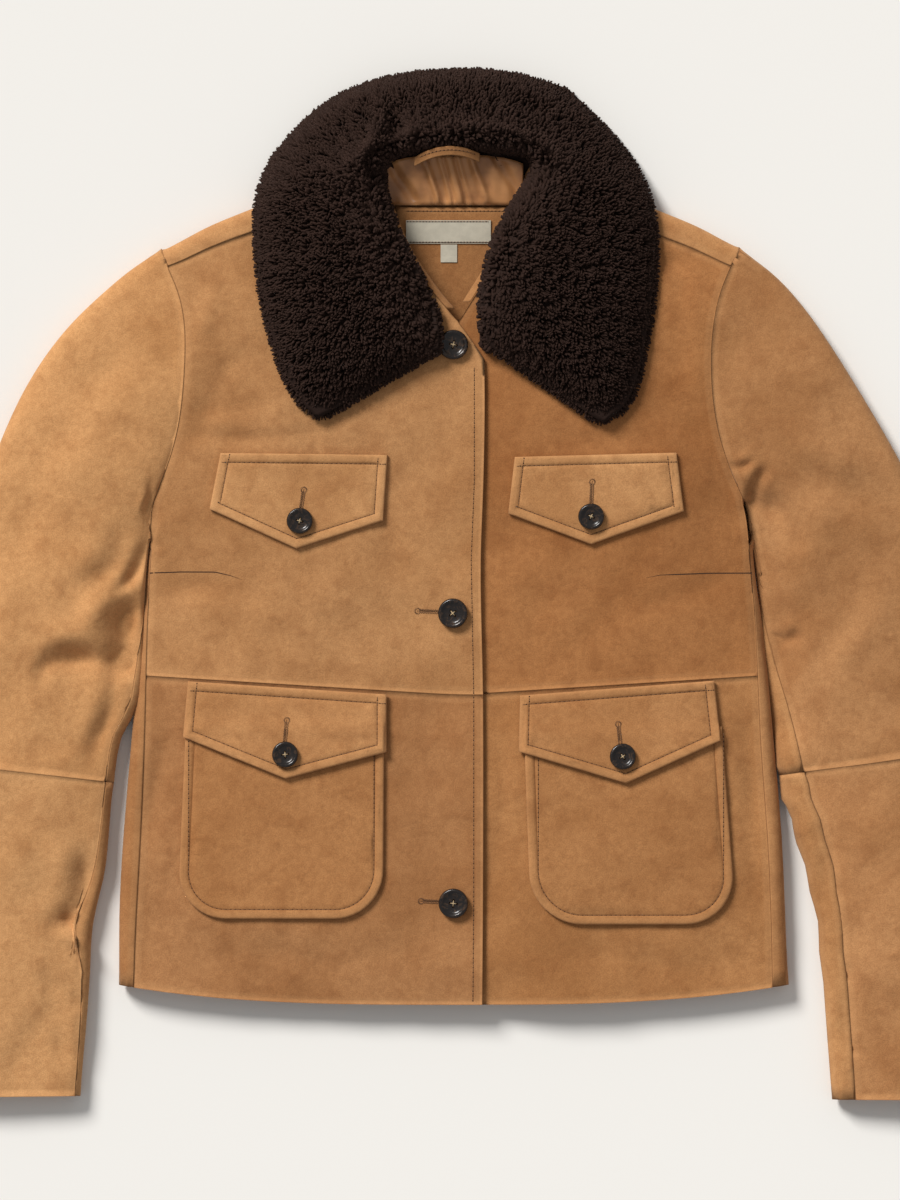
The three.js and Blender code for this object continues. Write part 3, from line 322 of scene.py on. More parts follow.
def drape(piece):
    """Gives a wall its creases, and rolls its upper edges down."""
    mesh = piece.data
    far = mark_edges(mesh)
    points = shape_of(mesh)
    up = normals_of(mesh)[:, 2]
    x, y, z = points.T
    upper = ease(4.5, 11, z)
    hidden = 1 - ease(2.5, 4.5, z)
    lift = np.maximum(cloth_lift(x, y), -0.5 * np.maximum(z - 4, 0))
    furrows = np.clip(-cloth_lift(x + 37, y - 21), 0, 2.4) * ease(0, 14, far)
    z += lift * upper + 0.5 * furrows * hidden
    if "right_front" in piece.name:
        z += EDGE_SPRING * ease(*FRONT_EDGE_SPAN, x) * (1 - ease(*FRONT_EDGE_HEAD, y))
    z -= ROLL_DEPTH * np.exp(-((far / ROLL_WIDTH) ** 2)) * ease(0.1, 0.6, up) * upper
    set_shape(mesh, np.stack([x, y, z], axis=1))


def finish_in(piece, *finishes):
    """Takes a piece's old materials off and puts its own on."""
    piece.data.materials.clear()
    for finish in finishes:
        piece.data.materials.append(finish)


def lay(piece, node):
    """Hangs a laid sheet of cloth on the root and hides the part it replaces."""
    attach(piece, "root")
    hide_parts(node)


def new_finish(name):
    """A material with its node tree, its shader and the piece's own coordinates."""
    material = bpy.data.materials.new(name)
    material.use_nodes = True
    tree = material.node_tree
    place = tree.nodes.new("ShaderNodeTexCoord").outputs["Object"]
    return material, tree, tree.nodes["Principled BSDF"], place


def set_inputs(made, values):
    """Sets a node's own sockets, each named, to plain values."""
    for socket, value in values.items():
        made.inputs[socket].default_value = value


def feed(tree, value, socket):
    """Gives a socket a number, a colour or another node's output."""
    if isinstance(value, bpy.types.NodeSocket):
        tree.links.new(value, socket)
    else:
        socket.default_value = value


def grain(tree, place, scale, detail, distortion=0.0):
    """Cloudy noise, larger for a smaller scale."""
    noise = tree.nodes.new("ShaderNodeTexNoise")
    set_inputs(noise, {"Scale": scale, "Detail": detail, "Distortion": distortion})
    tree.links.new(place, noise.inputs["Vector"])
    return noise.outputs["Fac"]


def blend(tree, first, second, factor, mode="MIX"):
    """Mixes two colours or outputs by a number or an output."""
    mix = tree.nodes.new("ShaderNodeMix")
    mix.data_type = "RGBA"
    mix.blend_type = mode
    mix.clamp_result = True
    for value, socket in ((factor, 0), (first, 6), (second, 7)):
        feed(tree, value, mix.inputs[socket])
    return mix.outputs[2]


def curve(tree, source, stops):
    """A ramp through grey stops, given as place and level."""
    ramp = tree.nodes.new("ShaderNodeValToRGB")
    ramp.color_ramp.interpolation = "EASE"
    while len(ramp.color_ramp.elements) < len(stops):
        ramp.color_ramp.elements.new(0.5)
    for element, (place, level) in zip(ramp.color_ramp.elements, stops):
        element.position = place
        element.color = (level, level, level, 1)
    tree.links.new(source, ramp.inputs[0])
    return ramp.outputs[0]


def arithmetic(tree, operation, first, second):
    maths = tree.nodes.new("ShaderNodeMath")
    maths.operation = operation
    feed(tree, first, maths.inputs[0])
    feed(tree, second, maths.inputs[1])
    return maths.outputs[0]


def emboss(tree, shader, height, strength, depth):
    """Raises the surface by a pattern of heights, its depth in millimetres."""
    bump = tree.nodes.new("ShaderNodeBump")
    set_inputs(bump, {"Strength": strength, "Distance": depth * MM})
    tree.links.new(height, bump.inputs["Height"])
    tree.links.new(bump.outputs["Normal"], shader.inputs["Normal"])


SUEDE_LIGHT = (0.60, 0.305, 0.125, 1)
SUEDE_TAN = (0.47, 0.222, 0.084, 1)
SUEDE_DEEP = (0.33, 0.135, 0.047, 1)
# Painted highlight laid on beside the edges, where the rolled rims catch the light
SUEDE_EDGE_HIGHLIGHT = (0.70, 0.385, 0.172, 1)
SUEDE_SHADE = (0.15, 0.055, 0.018, 1)
SUEDE_SHEEN = (1.0, 0.74, 0.5, 1)
# How dark the suede is at shares of this band from an edge, along a seam and along a stitched rim
EDGE_BAND = 12.0
SEAM_STOPS = [(0.0, 0.6), (0.02, 0.3), (0.05, 0.0)]
STITCHED_STOPS = [(0.0, 0.0), (0.485, 0.0), (0.54, 0.62), (0.6, 0.0)]


def suede(name, shift, tone, dark_stops=SEAM_STOPS, rim=0.13):
    """Napped goat suede: cloudy tone, brushed nap, fine grain, a painted highlight beside its edges, and
    painted shade at its seams and stitched grooves.
    """
    material, tree, shader, place = new_finish(name)
    mapping = tree.nodes.new("ShaderNodeMapping")
    mapping.inputs["Location"].default_value = shift
    tree.links.new(place, mapping.inputs["Vector"])
    place = mapping.outputs["Vector"]
    clouds = curve(tree, grain(tree, place, 8, 3, 0.6), [(0.38, 0), (0.62, 1)])
    smudges = curve(tree, grain(tree, place, 27, 3, 0.5), [(0.34, 0), (0.68, 1)])
    blotches = curve(tree, grain(tree, place, 66, 3, 0.3), [(0.42, 0), (0.78, 1)])
    nap = curve(tree, grain(tree, place, 230, 3), [(0.25, 0), (0.75, 1)])
    fibre = grain(tree, place, 1350, 3)
    tan = SUEDE_TAN
    lights = [(SUEDE_LIGHT, clouds, 0.95), (SUEDE_LIGHT, smudges, 0.52)]
    for colour, pattern, share in lights + [(SUEDE_DEEP, blotches, 0.42), (SUEDE_DEEP, nap, 0.3)]:
        tan = blend(tree, tan, colour, arithmetic(tree, "MULTIPLY", pattern, share))
    tan = blend(tree, tan, (*tone, 1), 1.0, "MULTIPLY")
    tan = blend(tree, tan, curve(tree, fibre, [(0.28, 0.6), (0.7, 1)]), 0.62, "MULTIPLY")
    edge = tree.nodes.new("ShaderNodeAttribute")
    edge.attribute_name = "edge_mm"
    near = arithmetic(tree, "DIVIDE", edge.outputs["Fac"], EDGE_BAND)
    # Painted highlight: lighter within a few millimetres of every edge, as strong as rim gives
    highlight_band = curve(tree, near, [(0.0, 1), (0.3, 0.8), (0.5, 0.0)])
    tan = blend(tree, tan, SUEDE_EDGE_HIGHLIGHT, arithmetic(tree, "MULTIPLY", highlight_band, rim))
    tan = blend(tree, tan, SUEDE_SHADE, curve(tree, near, dark_stops))
    tree.links.new(tan, shader.inputs["Base Color"])
    height = arithmetic(tree, "MULTIPLY", fibre, 0.4)
    height = arithmetic(tree, "ADD", height, arithmetic(tree, "MULTIPLY", nap, 0.3))
    height = arithmetic(tree, "ADD", height, arithmetic(tree, "MULTIPLY", blotches, 0.6))
    emboss(tree, shader, height, 0.6, 0.5)
    set_inputs(shader, {"Roughness": 0.95, "Specular IOR Level": 0.1})
    set_inputs(shader, {"Sheen Weight": 0.2, "Sheen Roughness": 0.5, "Sheen Tint": SUEDE_SHEEN})
    return material


# Panels: node, how often its mesh is divided, width and length of its cut in metres, and tone; the tone
# is painted light and shade, lighter where the light falls full on a panel and darker where it falls
# away
BODY_PANELS = [
    ("back", 2, 0.62, 0.66, (0.83, 0.78, 0.75)),
    ("right_front_upper", 3, 0.25, 0.36, (0.92, 0.91, 0.91)),
    ("right_front_lower", 3, 0.26, 0.24, (0.82, 0.77, 0.76)),
    ("left_front_upper", 3, 0.24, 0.36, (0.76, 0.65, 0.56)),
    ("left_front_lower", 3, 0.25, 0.24, (0.85, 0.79, 0.73)),
    ("right_top_sleeve", 3, 0.27, 0.4, (1.12, 1.13, 1.12)),
    ("right_under_sleeve", 2, 0.26, 0.38, (0.95, 0.95, 0.94)),
    ("right_top_forearm", 3, 0.2, 0.25, (1.1, 1.13, 1.15)),
    ("right_under_forearm", 2, 0.2, 0.25, (0.95, 0.95, 0.94)),
    ("left_top_sleeve", 3, 0.27, 0.4, (0.86, 0.83, 0.83)),
    ("left_under_sleeve", 2, 0.26, 0.38, (0.92, 0.9, 0.88)),
    ("left_top_forearm", 3, 0.2, 0.26, (0.94, 0.91, 0.92)),
    ("left_under_forearm", 2, 0.2, 0.26, (0.92, 0.9, 0.88)),
]
# Painted light and shade on the back: its top over the shoulders lighter, the rest of it darker
SHOULDER_PAINTED_LIGHT = (1.04, 1.03, 1.02)
SHOULDER_LINE = 180
SHOULDER_HEIGHT = 6

panels = {row[0]: cut_from(row[0], row[1]) for row in BODY_PANELS}
for name, piece in panels.items():
    if "sleeve" in name or "forearm" in name:
        swell_inwards(piece, -1 if name.startswith("right") else 1)
    meet_at_shoulder(piece, "sleeve" in name)
pull_seams(list(panels.values()))
for number, (name, _, width, length, tone) in enumerate(BODY_PANELS):
    piece = panels[name]
    drape(piece)
    shift = (0.37 * number, 0.61 * number, 0.13 * number)
    # The panel's tone paints its light and shade
    finish_in(piece, suede("suede_" + name, shift, tone))
    if name == "back":
        piece.data.materials.append(suede("suede_shoulders_painted_light", (0.9, 3.3, 1.6), SHOULDER_PAINTED_LIGHT))
        # The back's faces over the shoulders take the painted light
        for face in piece.data.polygons:
            if face.center.y > SHOULDER_LINE * MM and face.center.z > SHOULDER_HEIGHT * MM:
                face.material_index = 1
    lay(piece, name)


ABOVE_ALL = 0.12
SEAM_STEP = 1.3
ON_CLOTH = 12


def rest_height(tree, x, y):
    """Height of the carrier at a place, in millimetres, past the narrow gaps at its seams."""
    heights = []
    for dx, dy in ((0, 0), (SEAM_STEP, 0), (-SEAM_STEP, 0), (0, SEAM_STEP), (0, -SEAM_STEP)):
        hit = tree.ray_cast(Vector(((x + dx) * MM, (y + dy) * MM, ABOVE_ALL)), Vector((0, 0, -1)))[0]
        if hit is not None:
            heights.append(hit.z / MM)
        if heights and not dx and not dy and heights[0] > ON_CLOTH:
            return heights[0]
    return max(heights) if heights else 0.0


def front_of(side):
    """The upper and lower front of one side."""
    return [panels[side + "_front_upper"], panels[side + "_front_lower"]]


fronts = carrier(*front_of("right"), *front_of("left"))

# Sewing: lockstitch in tan thread along the front edge, and the waist darts.
# Each stitch is a short thread that dips into a needle hole at both ends; each needle hole is a small
# dark oval of painted shade.
STITCH_STEP = 3.3
STITCH_LENGTH = 2.0
THREAD_LIFT = 0.1
THREAD = (0.24, 0.115, 0.048, 1)
NEEDLE_HOLE_SHADE = (0.055, 0.022, 0.009, 1)


def plain(name, colour, roughness, spots):
    """A small part's finish with a little change of tone."""
    material, tree, shader, place = new_finish(name)
    speckle = grain(tree, place, 900, 3)
    level = curve(tree, speckle, [(0.3, 1 - spots), (0.7, 1)])
    tree.links.new(blend(tree, colour, level, 1.0, "MULTIPLY"), shader.inputs["Base Color"])
    shader.inputs["Roughness"].default_value = roughness
    emboss(tree, shader, speckle, 0.4, 0.1)
    return material


thread_finish = plain("sewing_thread", THREAD, 0.7, 0.4)
# Needle holes, buttonhole slits and dart lines are dark marks: painted shade in these small hollows
hole_shade_finish = plain("needle_hole_shade", NEEDLE_HOLE_SHADE, 0.95, 0.3)


def bead(length, width, height):
    """A rounded grain of thread along X."""
    bm = bmesh.new()
    bmesh.ops.create_icosphere(bm, subdivisions=1, radius=0.5)
    bmesh.ops.scale(bm, vec=(length * MM, width * MM, height * MM), verts=bm.verts)
    return bm


def scatter(name, template, places, finish):
    """One mesh with a copy of the template at each place, given as 4 by 4 matrices."""
    template.verts.index_update()
    points = np.array([v.co for v in template.verts])
    corners = np.array([[v.index for v in face.verts] for face in template.faces])
    places = np.array(places)
    spread = np.einsum("nij,vj->nvi", places[:, :3, :3], points) + places[:, None, :3, 3]
    faces = corners[None] + (np.arange(len(places)) * len(points))[:, None, None]
    mesh = bpy.data.meshes.new(name)
    mesh.from_pydata(spread.reshape(-1, 3), [], faces.reshape(-1, corners.shape[1]))
    mesh.shade_smooth()
    mesh.materials.append(finish)
    return add_piece(name, mesh)


def along_path(path, step):
    """Evenly spaced places and directions along a path in X and Y."""
    path = np.array(path, dtype=float)
    legs = np.linalg.norm(np.diff(path, axis=0), axis=1)
    total = legs.sum()
    marks = np.concatenate([[0], np.cumsum(legs)])
    steps = max(int(total / step), 1)

    def spots(at):
        return np.stack([np.interp(at, marks, path[:, axis]) for axis in (0, 1)], axis=1)

    at = (np.arange(steps) + 0.5) * total / steps
    return spots(at), spots(at + 0.5) - spots(at - 0.5)


def turned(x, y, z, direction):
    """A place whose X axis runs along a direction."""
    ahead = Vector(direction).normalized()
    side = Vector((0, 0, 1)).cross(ahead).normalized()
    up = ahead.cross(side)
    made = Matrix((ahead, side, up)).transposed().to_4x4()
    made.translation = Vector((x * MM, y * MM, z * MM))
    return made


def sew(name, tree, paths, step=STITCH_STEP):
    """Rows of stitches along paths, lying on the carrier."""
    threads, holes = [], []
    for path in paths:
        spots, ways = along_path(path, step)
        for (x, y), (dx, dy) in zip(spots, ways):
            size = math.hypot(dx, dy)
            ux, uy = dx / size, dy / size
            z = rest_height(tree, x, y)
            rise = rest_height(tree, x + ux, y + uy) - rest_height(tree, x - ux, y - uy)
            threads.append(turned(x, y, z + THREAD_LIFT, (ux, uy, 0.5 * rise)))
            hx, hy = x + ux * step / 2, y + uy * step / 2
            holes.append(turned(hx, hy, rest_height(tree, hx, hy), (ux, uy, 0)))
    piece = scatter(name, bead(STITCH_LENGTH * step / STITCH_STEP, 0.62, 0.5), threads, thread_finish)
    marks = scatter(name + "_holes", bead(1.5, 0.95, 0.5), holes, hole_shade_finish)
    for made in (piece, marks):
        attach(made, "root")


FRONT_EDGE = [(14.9, 152), (14.9, 72), (12.7, 16), (14.5, -79), (14.5, -221), (13.9, -292)]
DARTS = [
    [(-213.5, 7.3), (-190, 8.1), (-166.6, 8.0), (-156, 5.6), (-147, 2.4)],
    [(210.5, 7.3), (180, 7.2), (144.9, 5.9), (134.4, 3.8)],
]
DART_WIDTH = 0.75
sew("front_edge_stitching", fronts, [FRONT_EDGE])


def seam_line(name, tree, paths, width):
    """A fine line of painted shade, pointed at its ends, where cloth is sunk and sewn into itself."""
    bm = bmesh.new()
    for path in paths:
        spots, ways = along_path(path, 2.0)
        row = []
        for i, ((x, y), (dx, dy)) in enumerate(zip(spots, ways)):
            size = math.hypot(dx, dy)
            half = 0.5 * width * min(1, 3 * (len(spots) - 1 - i) / len(spots) + 0.12)
            nx, ny = -dy / size * half, dx / size * half
            pair = []
            for sign in (1, -1):
                px, py = x + sign * nx, y + sign * ny
                pair.append(bm.verts.new(Vector((px, py, rest_height(tree, px, py) + 0.07)) * MM))
            row.append(pair)
        for (a, b), (c, d) in zip(row, row[1:]):
            bm.faces.new((a, b, d, c))
    bmesh.ops.recalc_face_normals(bm, faces=bm.faces)
    bmesh.ops.solidify(bm, geom=bm.faces, thickness=0.05 * MM)
    mesh = mesh_of(name, bm)
    mesh.materials.append(hole_shade_finish)
    piece = add_piece(name, mesh)
    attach(piece, "root")


seam_line("waist_darts", fronts, DARTS, DART_WIDTH)

# Chest flaps, patch pockets and pocket flaps: suede folded under at the edge and stitched down
# 6.5 mm inside it, which leaves a puffy rim and a shallow groove along the stitches.
STITCH_INSET = 6.5
# Steps inwards from the edge, one for each row of the patch's mesh
RINGS = [0.35, 0.6, 0.9, 1.2, 1.4, 1.05, 0.65, 0.35, 0.5, 0.9, 1.6]
# The puffed rim: how far in from the edge, and how high
RIM_PROFILE = [
    (0, 2.1), (0.35, 2.8), (0.95, 3.15), (1.85, 3.3), (3.05, 3.3), (4.45, 3.15), (5.5, 2.9),
    (6.15, 2.5), (6.5, 2.3), (7.0, 2.5), (7.9, 2.75), (9.5, 2.85), (30, 2.85),
]
LATTICE = 5.0
SMOOTHING = 24
# Patches: radius of the two lower corners, tone, and corners from the top left, clockwise; the tone is
# painted light and shade, the chest flaps lighter and the pockets darker
PATCHES = {
    "right_chest_flap": [
        (0, (1.06, 1.08, 1.1)),
        [(-162.6, 91.3), (-45.8, 89.9), (-48.9, 44), (-109.6, 24.4), (-170.3, 52.1)],
    ],
    "left_chest_flap": [
        (0, (1.04, 1.04, 1.04)), [(43.2, 88.5), (156.2, 91.5), (161.6, 50.5), (96.6, 27.3), (38.6, 49)],
    ],
    "right_pocket": [
        (34, (0.82, 0.75, 0.69)), [(-187, -100), (-48, -100), (-49, -234.6), (-193, -234.6)],
    ],
    "left_pocket": [
        (36, (0.82, 0.75, 0.69)), [(49.5, -100), (188, -100), (198.5, -238.6), (54.5, -238.6)],
    ],
    "right_pocket_flap": [
        (0, (0.93, 0.9, 0.88)),
        [(-185.5, -68.4), (-46.5, -77.6), (-46.5, -117.9), (-117.1, -136.6), (-189, -107.4)],
    ],
    "left_pocket_flap": [
        (0, (0.92, 0.88, 0.85)),
        [(46.9, -78.4), (182.7, -68), (187.3, -109.9), (121.1, -139.8), (46, -117.6)],
    ],
}
LOW_CORNERS = slice(2, 4)
CORNER_STEPS = 12
CLEARANCE = 0.3
# How strong the painted highlight along the patches' rims is
PATCH_RIM_HIGHLIGHT = 0.14


def beside(a, b, inset):
    """The line from a to b moved to its right by the inset."""
    a, b = Vector(a), Vector(b)
    way = (b - a).normalized()
    step = Vector((way.y, -way.x)) * inset
    return a + step, b + step


def meeting(first, second):
    """Where two lines cross, drawn on past their ends."""
    (a, b), (c, d) = first, second
    r, q = b - a, d - c
    share = (c - a).cross(q) / r.cross(q)
    return a + r * share


def flap_rows(corners):
    """A flap's two rows of stitches: one below its top, one down its sides and round its point."""
    count = len(corners)
    edges = [(corners[i], corners[(i + 1) % count]) for i in range(count)]
    inner = [beside(a, b, STITCH_INSET) for a, b in edges]
    outer = [beside(a, b, 1.2) for a, b in edges]
    top_row = [meeting(outer[-1], inner[0]), meeting(inner[0], outer[1])]
    low_row = [meeting(outer[0], inner[1])]
    low_row += [meeting(inner[i], inner[i + 1]) for i in range(1, count - 1)]
    low_row.append(meeting(inner[-1], outer[0]))
    return [[tuple(p) for p in top_row], [tuple(p) for p in low_row]]


def off_line(line, points):
    """Each point's distance from a line of short legs in X and Y."""
    best = np.full(len(points), 1e9)
    for a, b in zip(line, line[1:]):
        way = b - a
        share = np.clip(((points - a) @ way) / (way @ way), 0, 1)
        best = np.minimum(best, np.linalg.norm(points - a - share[:, None] * way, axis=1))
    return best


def sew_on(node, tree, gap, shift):
    """A patch cut to its corners, its rim puffed and its field laid on what carries it."""
    (radius, tone), outer = PATCHES[node]
    bm = bmesh.new()
    corners = [bm.verts.new((x * MM, y * MM, 0)) for x, y in outer]
    bm.faces.new(corners)
    if radius:
        bmesh.ops.bevel(
            bm,
            geom=corners[LOW_CORNERS],
            offset=radius * MM,
            offset_type="OFFSET",
            affect="VERTICES",
            segments=CORNER_STEPS,
            profile=0.5,
            material=-1,
        )
    bmesh.ops.recalc_face_normals(bm, faces=bm.faces)
    outline = np.array([v.co.xy for v in next(iter(bm.faces)).verts]) / MM
    seam_path = []
    depth = 0.0
    inner = list(bm.faces)
    for ring in RINGS:
        step = ring * MM
        bmesh.ops.inset_region(bm, faces=inner, thickness=step, use_even_offset=True, use_boundary=True)
        depth += ring
        if depth > STITCH_INSET - 0.05 and not seam_path:
            seam_path = [tuple(v.co.xy / MM) for v in inner[0].verts]
    lows, highs = outline.min(axis=0), outline.max(axis=0)
    for axis in (0, 1):
        for cut in np.arange(lows[axis] + LATTICE, highs[axis], LATTICE):
            spot, way = [0, 0, 0], [0, 0, 0]
            spot[axis] = cut * MM
            way[axis] = 1
            whole = bm.verts[:] + bm.edges[:] + bm.faces[:]
            bmesh.ops.bisect_plane(bm, geom=whole, plane_co=spot, plane_no=way)
    places = np.array([v.co.xy for v in bm.verts]) / MM
    inset = off_line(np.concatenate([outline, outline[:1]]), places)
    ground = np.array([rest_height(tree, x, y) for x, y in places])
    for vert, z in zip(bm.verts, ground):
        vert.co.z = z * MM
    for _ in range(SMOOTHING):
        bmesh.ops.smooth_vert(bm, verts=bm.verts, factor=0.5, use_axis_z=True)
    settled = np.array([v.co.z for v in bm.verts]) / MM
    base = np.maximum(settled, ground - 2 * CLEARANCE) + gap + CLEARANCE
    rise = np.interp(inset, *zip(*RIM_PROFILE))
    marks = bm.verts.layers.float.new("edge_mm")
    top = bmesh.ops.extrude_face_region(bm, geom=bm.faces[:], use_keep_orig=True)["geom"]
    raised = {item for item in top if isinstance(item, bmesh.types.BMVert)}
    below = tree_of([(x, y, 0) for x, y in places])
    for vert in bm.verts:
        i = below.find((vert.co.x / MM, vert.co.y / MM, 0))[1]
        vert[marks] = inset[i]
        vert.co.z = (base[i] + rise[i] * (vert in raised)) * MM
    bmesh.ops.recalc_face_normals(bm, faces=bm.faces)
    mesh = mesh_of(node + "_cloth", bm)
    mesh.shade_smooth()
    mesh.materials.append(suede("suede_" + node, shift, tone, STITCHED_STOPS, PATCH_RIM_HIGHLIGHT))
    piece = add_piece(node + "_cloth", mesh)
    lay(piece, node)
    return piece, seam_path


def pocket_row(seam_path, mouth):
    """A pocket's row of stitches, from its mouth down one side, round below and up the other."""
    brink = mouth - STITCH_INSET - 1.5
    ring = seam_path + seam_path
    start = next(i for i, (a, b) in enumerate(zip(ring, ring[1:])) if a[1] > brink >= b[1])
    low = [spot for spot in ring[start + 1 : start + len(seam_path)] if spot[1] <= brink]
    return [(low[0][0], brink + 4), *low, (low[-1][0], brink + 4)]


patches = {}
for number, name in enumerate(PATCHES):
    side = name.split("_")[0]
    carried_by, gap = fronts, CLEARANCE
    if name.endswith("pocket_flap"):
        carried_by, gap = carrier(*front_of(side), patches[side + "_pocket"]), 3 * CLEARANCE
    patches[name], seam_path = sew_on(name, carried_by, gap, (2.1 + 0.43 * number, 0.7 * number, 0.4))
    corners = PATCHES[name][1]
    rows = flap_rows(corners) if name.endswith("flap") else [pocket_row(seam_path, corners[0][1])]
    sew(name + "_stitching", carrier(patches[name]), rows)

# Buttons: turned horn-look buttons with a raised rim, a dished middle and four holes, sewn on
# with pale thread. Each covers the end of a worked buttonhole.
HORN_DARK = (0.012, 0.009, 0.008, 1)
HORN_STREAK = (0.05, 0.028, 0.016, 1)
TURNING_STEPS = 48
DRILL_STEPS = 14
SHARP_ANGLE = math.radians(42)
BUTTON_LIFT = 0.4
# Shares of a button's radius: half of its section, as how far out and how high, and its holes
BUTTON_PROFILE = [
    (0, 0.235), (0.3, 0.24), (0.56, 0.26), (0.66, 0.3), (0.74, 0.385), (0.8, 0.42), (0.87, 0.425),
    (0.94, 0.39), (0.985, 0.31), (1, 0.22), (0.97, 0.12), (0.88, 0.04), (0.76, 0), (0, 0),
]
HOLE_SPREAD = 0.155
HOLE_RADIUS = 0.085
THREAD_HEIGHT = 0.27


def horn():
    """Polished dark horn with faint brown streaks."""
    material, tree, shader, place = new_finish("dark_horn")
    streak = curve(tree, grain(tree, place, 160, 4, 2.5), [(0.48, 0), (0.68, 1)])
    tree.links.new(blend(tree, HORN_DARK, HORN_STREAK, streak), shader.inputs["Base Color"])
    scuffs = curve(tree, grain(tree, place, 700, 4), [(0.3, 0.2), (0.75, 0.36)])
    tree.links.new(scuffs, shader.inputs["Roughness"])
    set_inputs(shader, {"Specular IOR Level": 0.32, "Coat Weight": 0.2, "Coat Roughness": 0.1})
    return material


horn_finish = horn()
button_thread = plain("button_thread", (0.5, 0.36, 0.2, 1), 0.6, 0.4)
buttonhole_thread = plain("buttonhole_thread", (0.16, 0.075, 0.035, 1), 0.7, 0.5)
button_carrier = carrier(*panels.values(), *patches.values())


def drill_bits(radius):
    """Four round bits that drill a button's holes."""
    bm = bmesh.new()
    for sx in (-1, 1):
        for sy in (-1, 1):
            bmesh.ops.create_cone(
                bm,
                cap_ends=True,
                segments=DRILL_STEPS,
                radius1=HOLE_RADIUS * radius * MM,
                radius2=HOLE_RADIUS * radius * MM,
                depth=2 * radius * MM,
                matrix=Matrix.Translation(Vector((sx, sy, 0)) * HOLE_SPREAD * radius * MM),
            )
    return add_piece("drill", mesh_of("drill", bm))


def turn_button(name):
    """A button spun from its profile and drilled, lying on the cloth under it."""
    low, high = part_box(name)
    x, y = (low[0] + high[0]) / 2 / MM, (low[1] + high[1]) / 2 / MM
    radius = (high[0] - low[0]) / 2 / MM
    bm = bmesh.new()
    ring = [bm.verts.new((out * radius * MM, 0, up * radius * MM)) for out, up in BUTTON_PROFILE]
    edges = [bm.edges.new(pair) for pair in zip(ring, ring[1:])]
    bmesh.ops.spin(
        bm,
        geom=ring + edges,
        cent=(0, 0, 0),
        axis=(0, 0, 1),
        angle=2 * math.pi,
        steps=TURNING_STEPS,
        use_merge=True,
    )
    bmesh.ops.remove_doubles(bm, verts=bm.verts, dist=0.005 * MM)
    bmesh.ops.recalc_face_normals(bm, faces=bm.faces)
    mesh = mesh_of(name + "_turned", bm)
    mesh.materials.append(horn_finish)
    piece = add_piece(name + "_turned", mesh)
    bits = drill_bits(radius)
    cut = piece.modifiers.new("Drill", "BOOLEAN")
    cut.operation = "DIFFERENCE"
    cut.solver = "EXACT"
    cut.object = bits
    drilled = settle(piece)
    bpy.data.objects.remove(bits)
    round_it = ((-5, 0), (5, 0), (0, -5), (0, 5))
    heights = [rest_height(button_carrier, x + dx, y + dy) for dx, dy in round_it]
    tilt = Vector((heights[0] - heights[1], heights[2] - heights[3], 10)).normalized()
    lean = tilt.to_track_quat("Z", "Y").to_matrix().to_4x4()
    lift = max(heights + [rest_height(button_carrier, x, y)]) + BUTTON_LIFT
    twist = Matrix.Rotation(0.12 * radius + x, 4, "Z")
    place = Matrix.Translation(Vector((x, y, lift)) * MM) @ lean @ twist
    drilled.transform(place)
    drilled.shade_smooth()
    drilled.set_sharp_from_angle(angle=SHARP_ANGLE)
    raised = Matrix.Translation((0, 0, THREAD_HEIGHT * radius * MM))
    cross = [place @ (raised @ Matrix.Rotation(share * math.pi, 4, "Z")) for share in (0.25, 0.75)]
    strands = scatter(name + "_thread", bead(0.52 * radius, 1.0, 0.8), cross, button_thread)
    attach(piece, "root")
    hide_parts(name)
    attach(strands, "root")


BUTTONS = ["front_button_top", "front_button_middle", "front_button_bottom"]
BUTTONS += [side + spot + "_button" for spot in ("_chest", "_pocket") for side in ("right", "left")]
for name in BUTTONS:
    turn_button(name)

# Worked buttonholes: each runs from its eyelet to where the button covers it
BUTTONHOLES = [
    ("front_middle_hole", (-24.8, -19.2), (-9.1, -19.9)),
    ("front_bottom_hole", (-22.4, -222.2), (-9.1, -222.9)),
    ("right_chest_hole", (-104.3, 65.5), (-106.4, 52.0)),
    ("left_chest_hole", (97.3, 71.1), (96.6, 55.0)),
    ("right_pocket_hole", (-116.2, -95.6), (-117.6, -111.0)),
    ("left_pocket_hole", (115.5, -98.4), (116.9, -111.0)),
]
EYELET = 1.9
BINDING_STEP = 0.75
SLIT_STEP = 1.1
EYELET_STITCHES = 13
EYELET_MOUTH = 0.45


def work_buttonhole(name, eye, end):
    """A slit with an eyelet at its end, bound all round with close stitches."""
    eye, end = Vector(eye), Vector(end)
    way = (end - eye).normalized()
    side = Vector((-way.y, way.x))
    length = (end - eye).length

    def put(spot, ahead, lift):
        return turned(spot.x, spot.y, rest_height(button_carrier, spot.x, spot.y) + lift, (*ahead, 0))

    bound = []
    for i in range(int(length / BINDING_STEP)):
        spot = eye + way * (EYELET + BINDING_STEP * i)
        for sign in (1, -1):
            wobble = 0.18 * math.sin(i * 2.7 + sign)
            bound.append(put(spot + side * sign * (0.95 + wobble), side * sign + way * 0.2, 0.2))
    for i in range(EYELET_STITCHES):
        angle = EYELET_MOUTH + 2 * (math.pi - EYELET_MOUTH) * i / (EYELET_STITCHES - 1)
        out = way * math.cos(angle) + side * math.sin(angle)
        bound.append(put(eye + out * EYELET, out, 0.2))
    stitches = scatter(name, bead(1.35, 0.5, 0.45), bound, buttonhole_thread)
    # The slit is a row of dark beads: painted shade in the cut
    slit = [put(eye + way * SLIT_STEP * i, way, 0.02) for i in range(int(length / SLIT_STEP))]
    dark = scatter(name + "_slit", bead(1.6, 0.6, 0.3), slit, hole_shade_finish)
    for made in (stitches, dark):
        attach(made, "root")


for name, eye, end in BUTTONHOLES:
    work_buttonhole(name, eye, end)

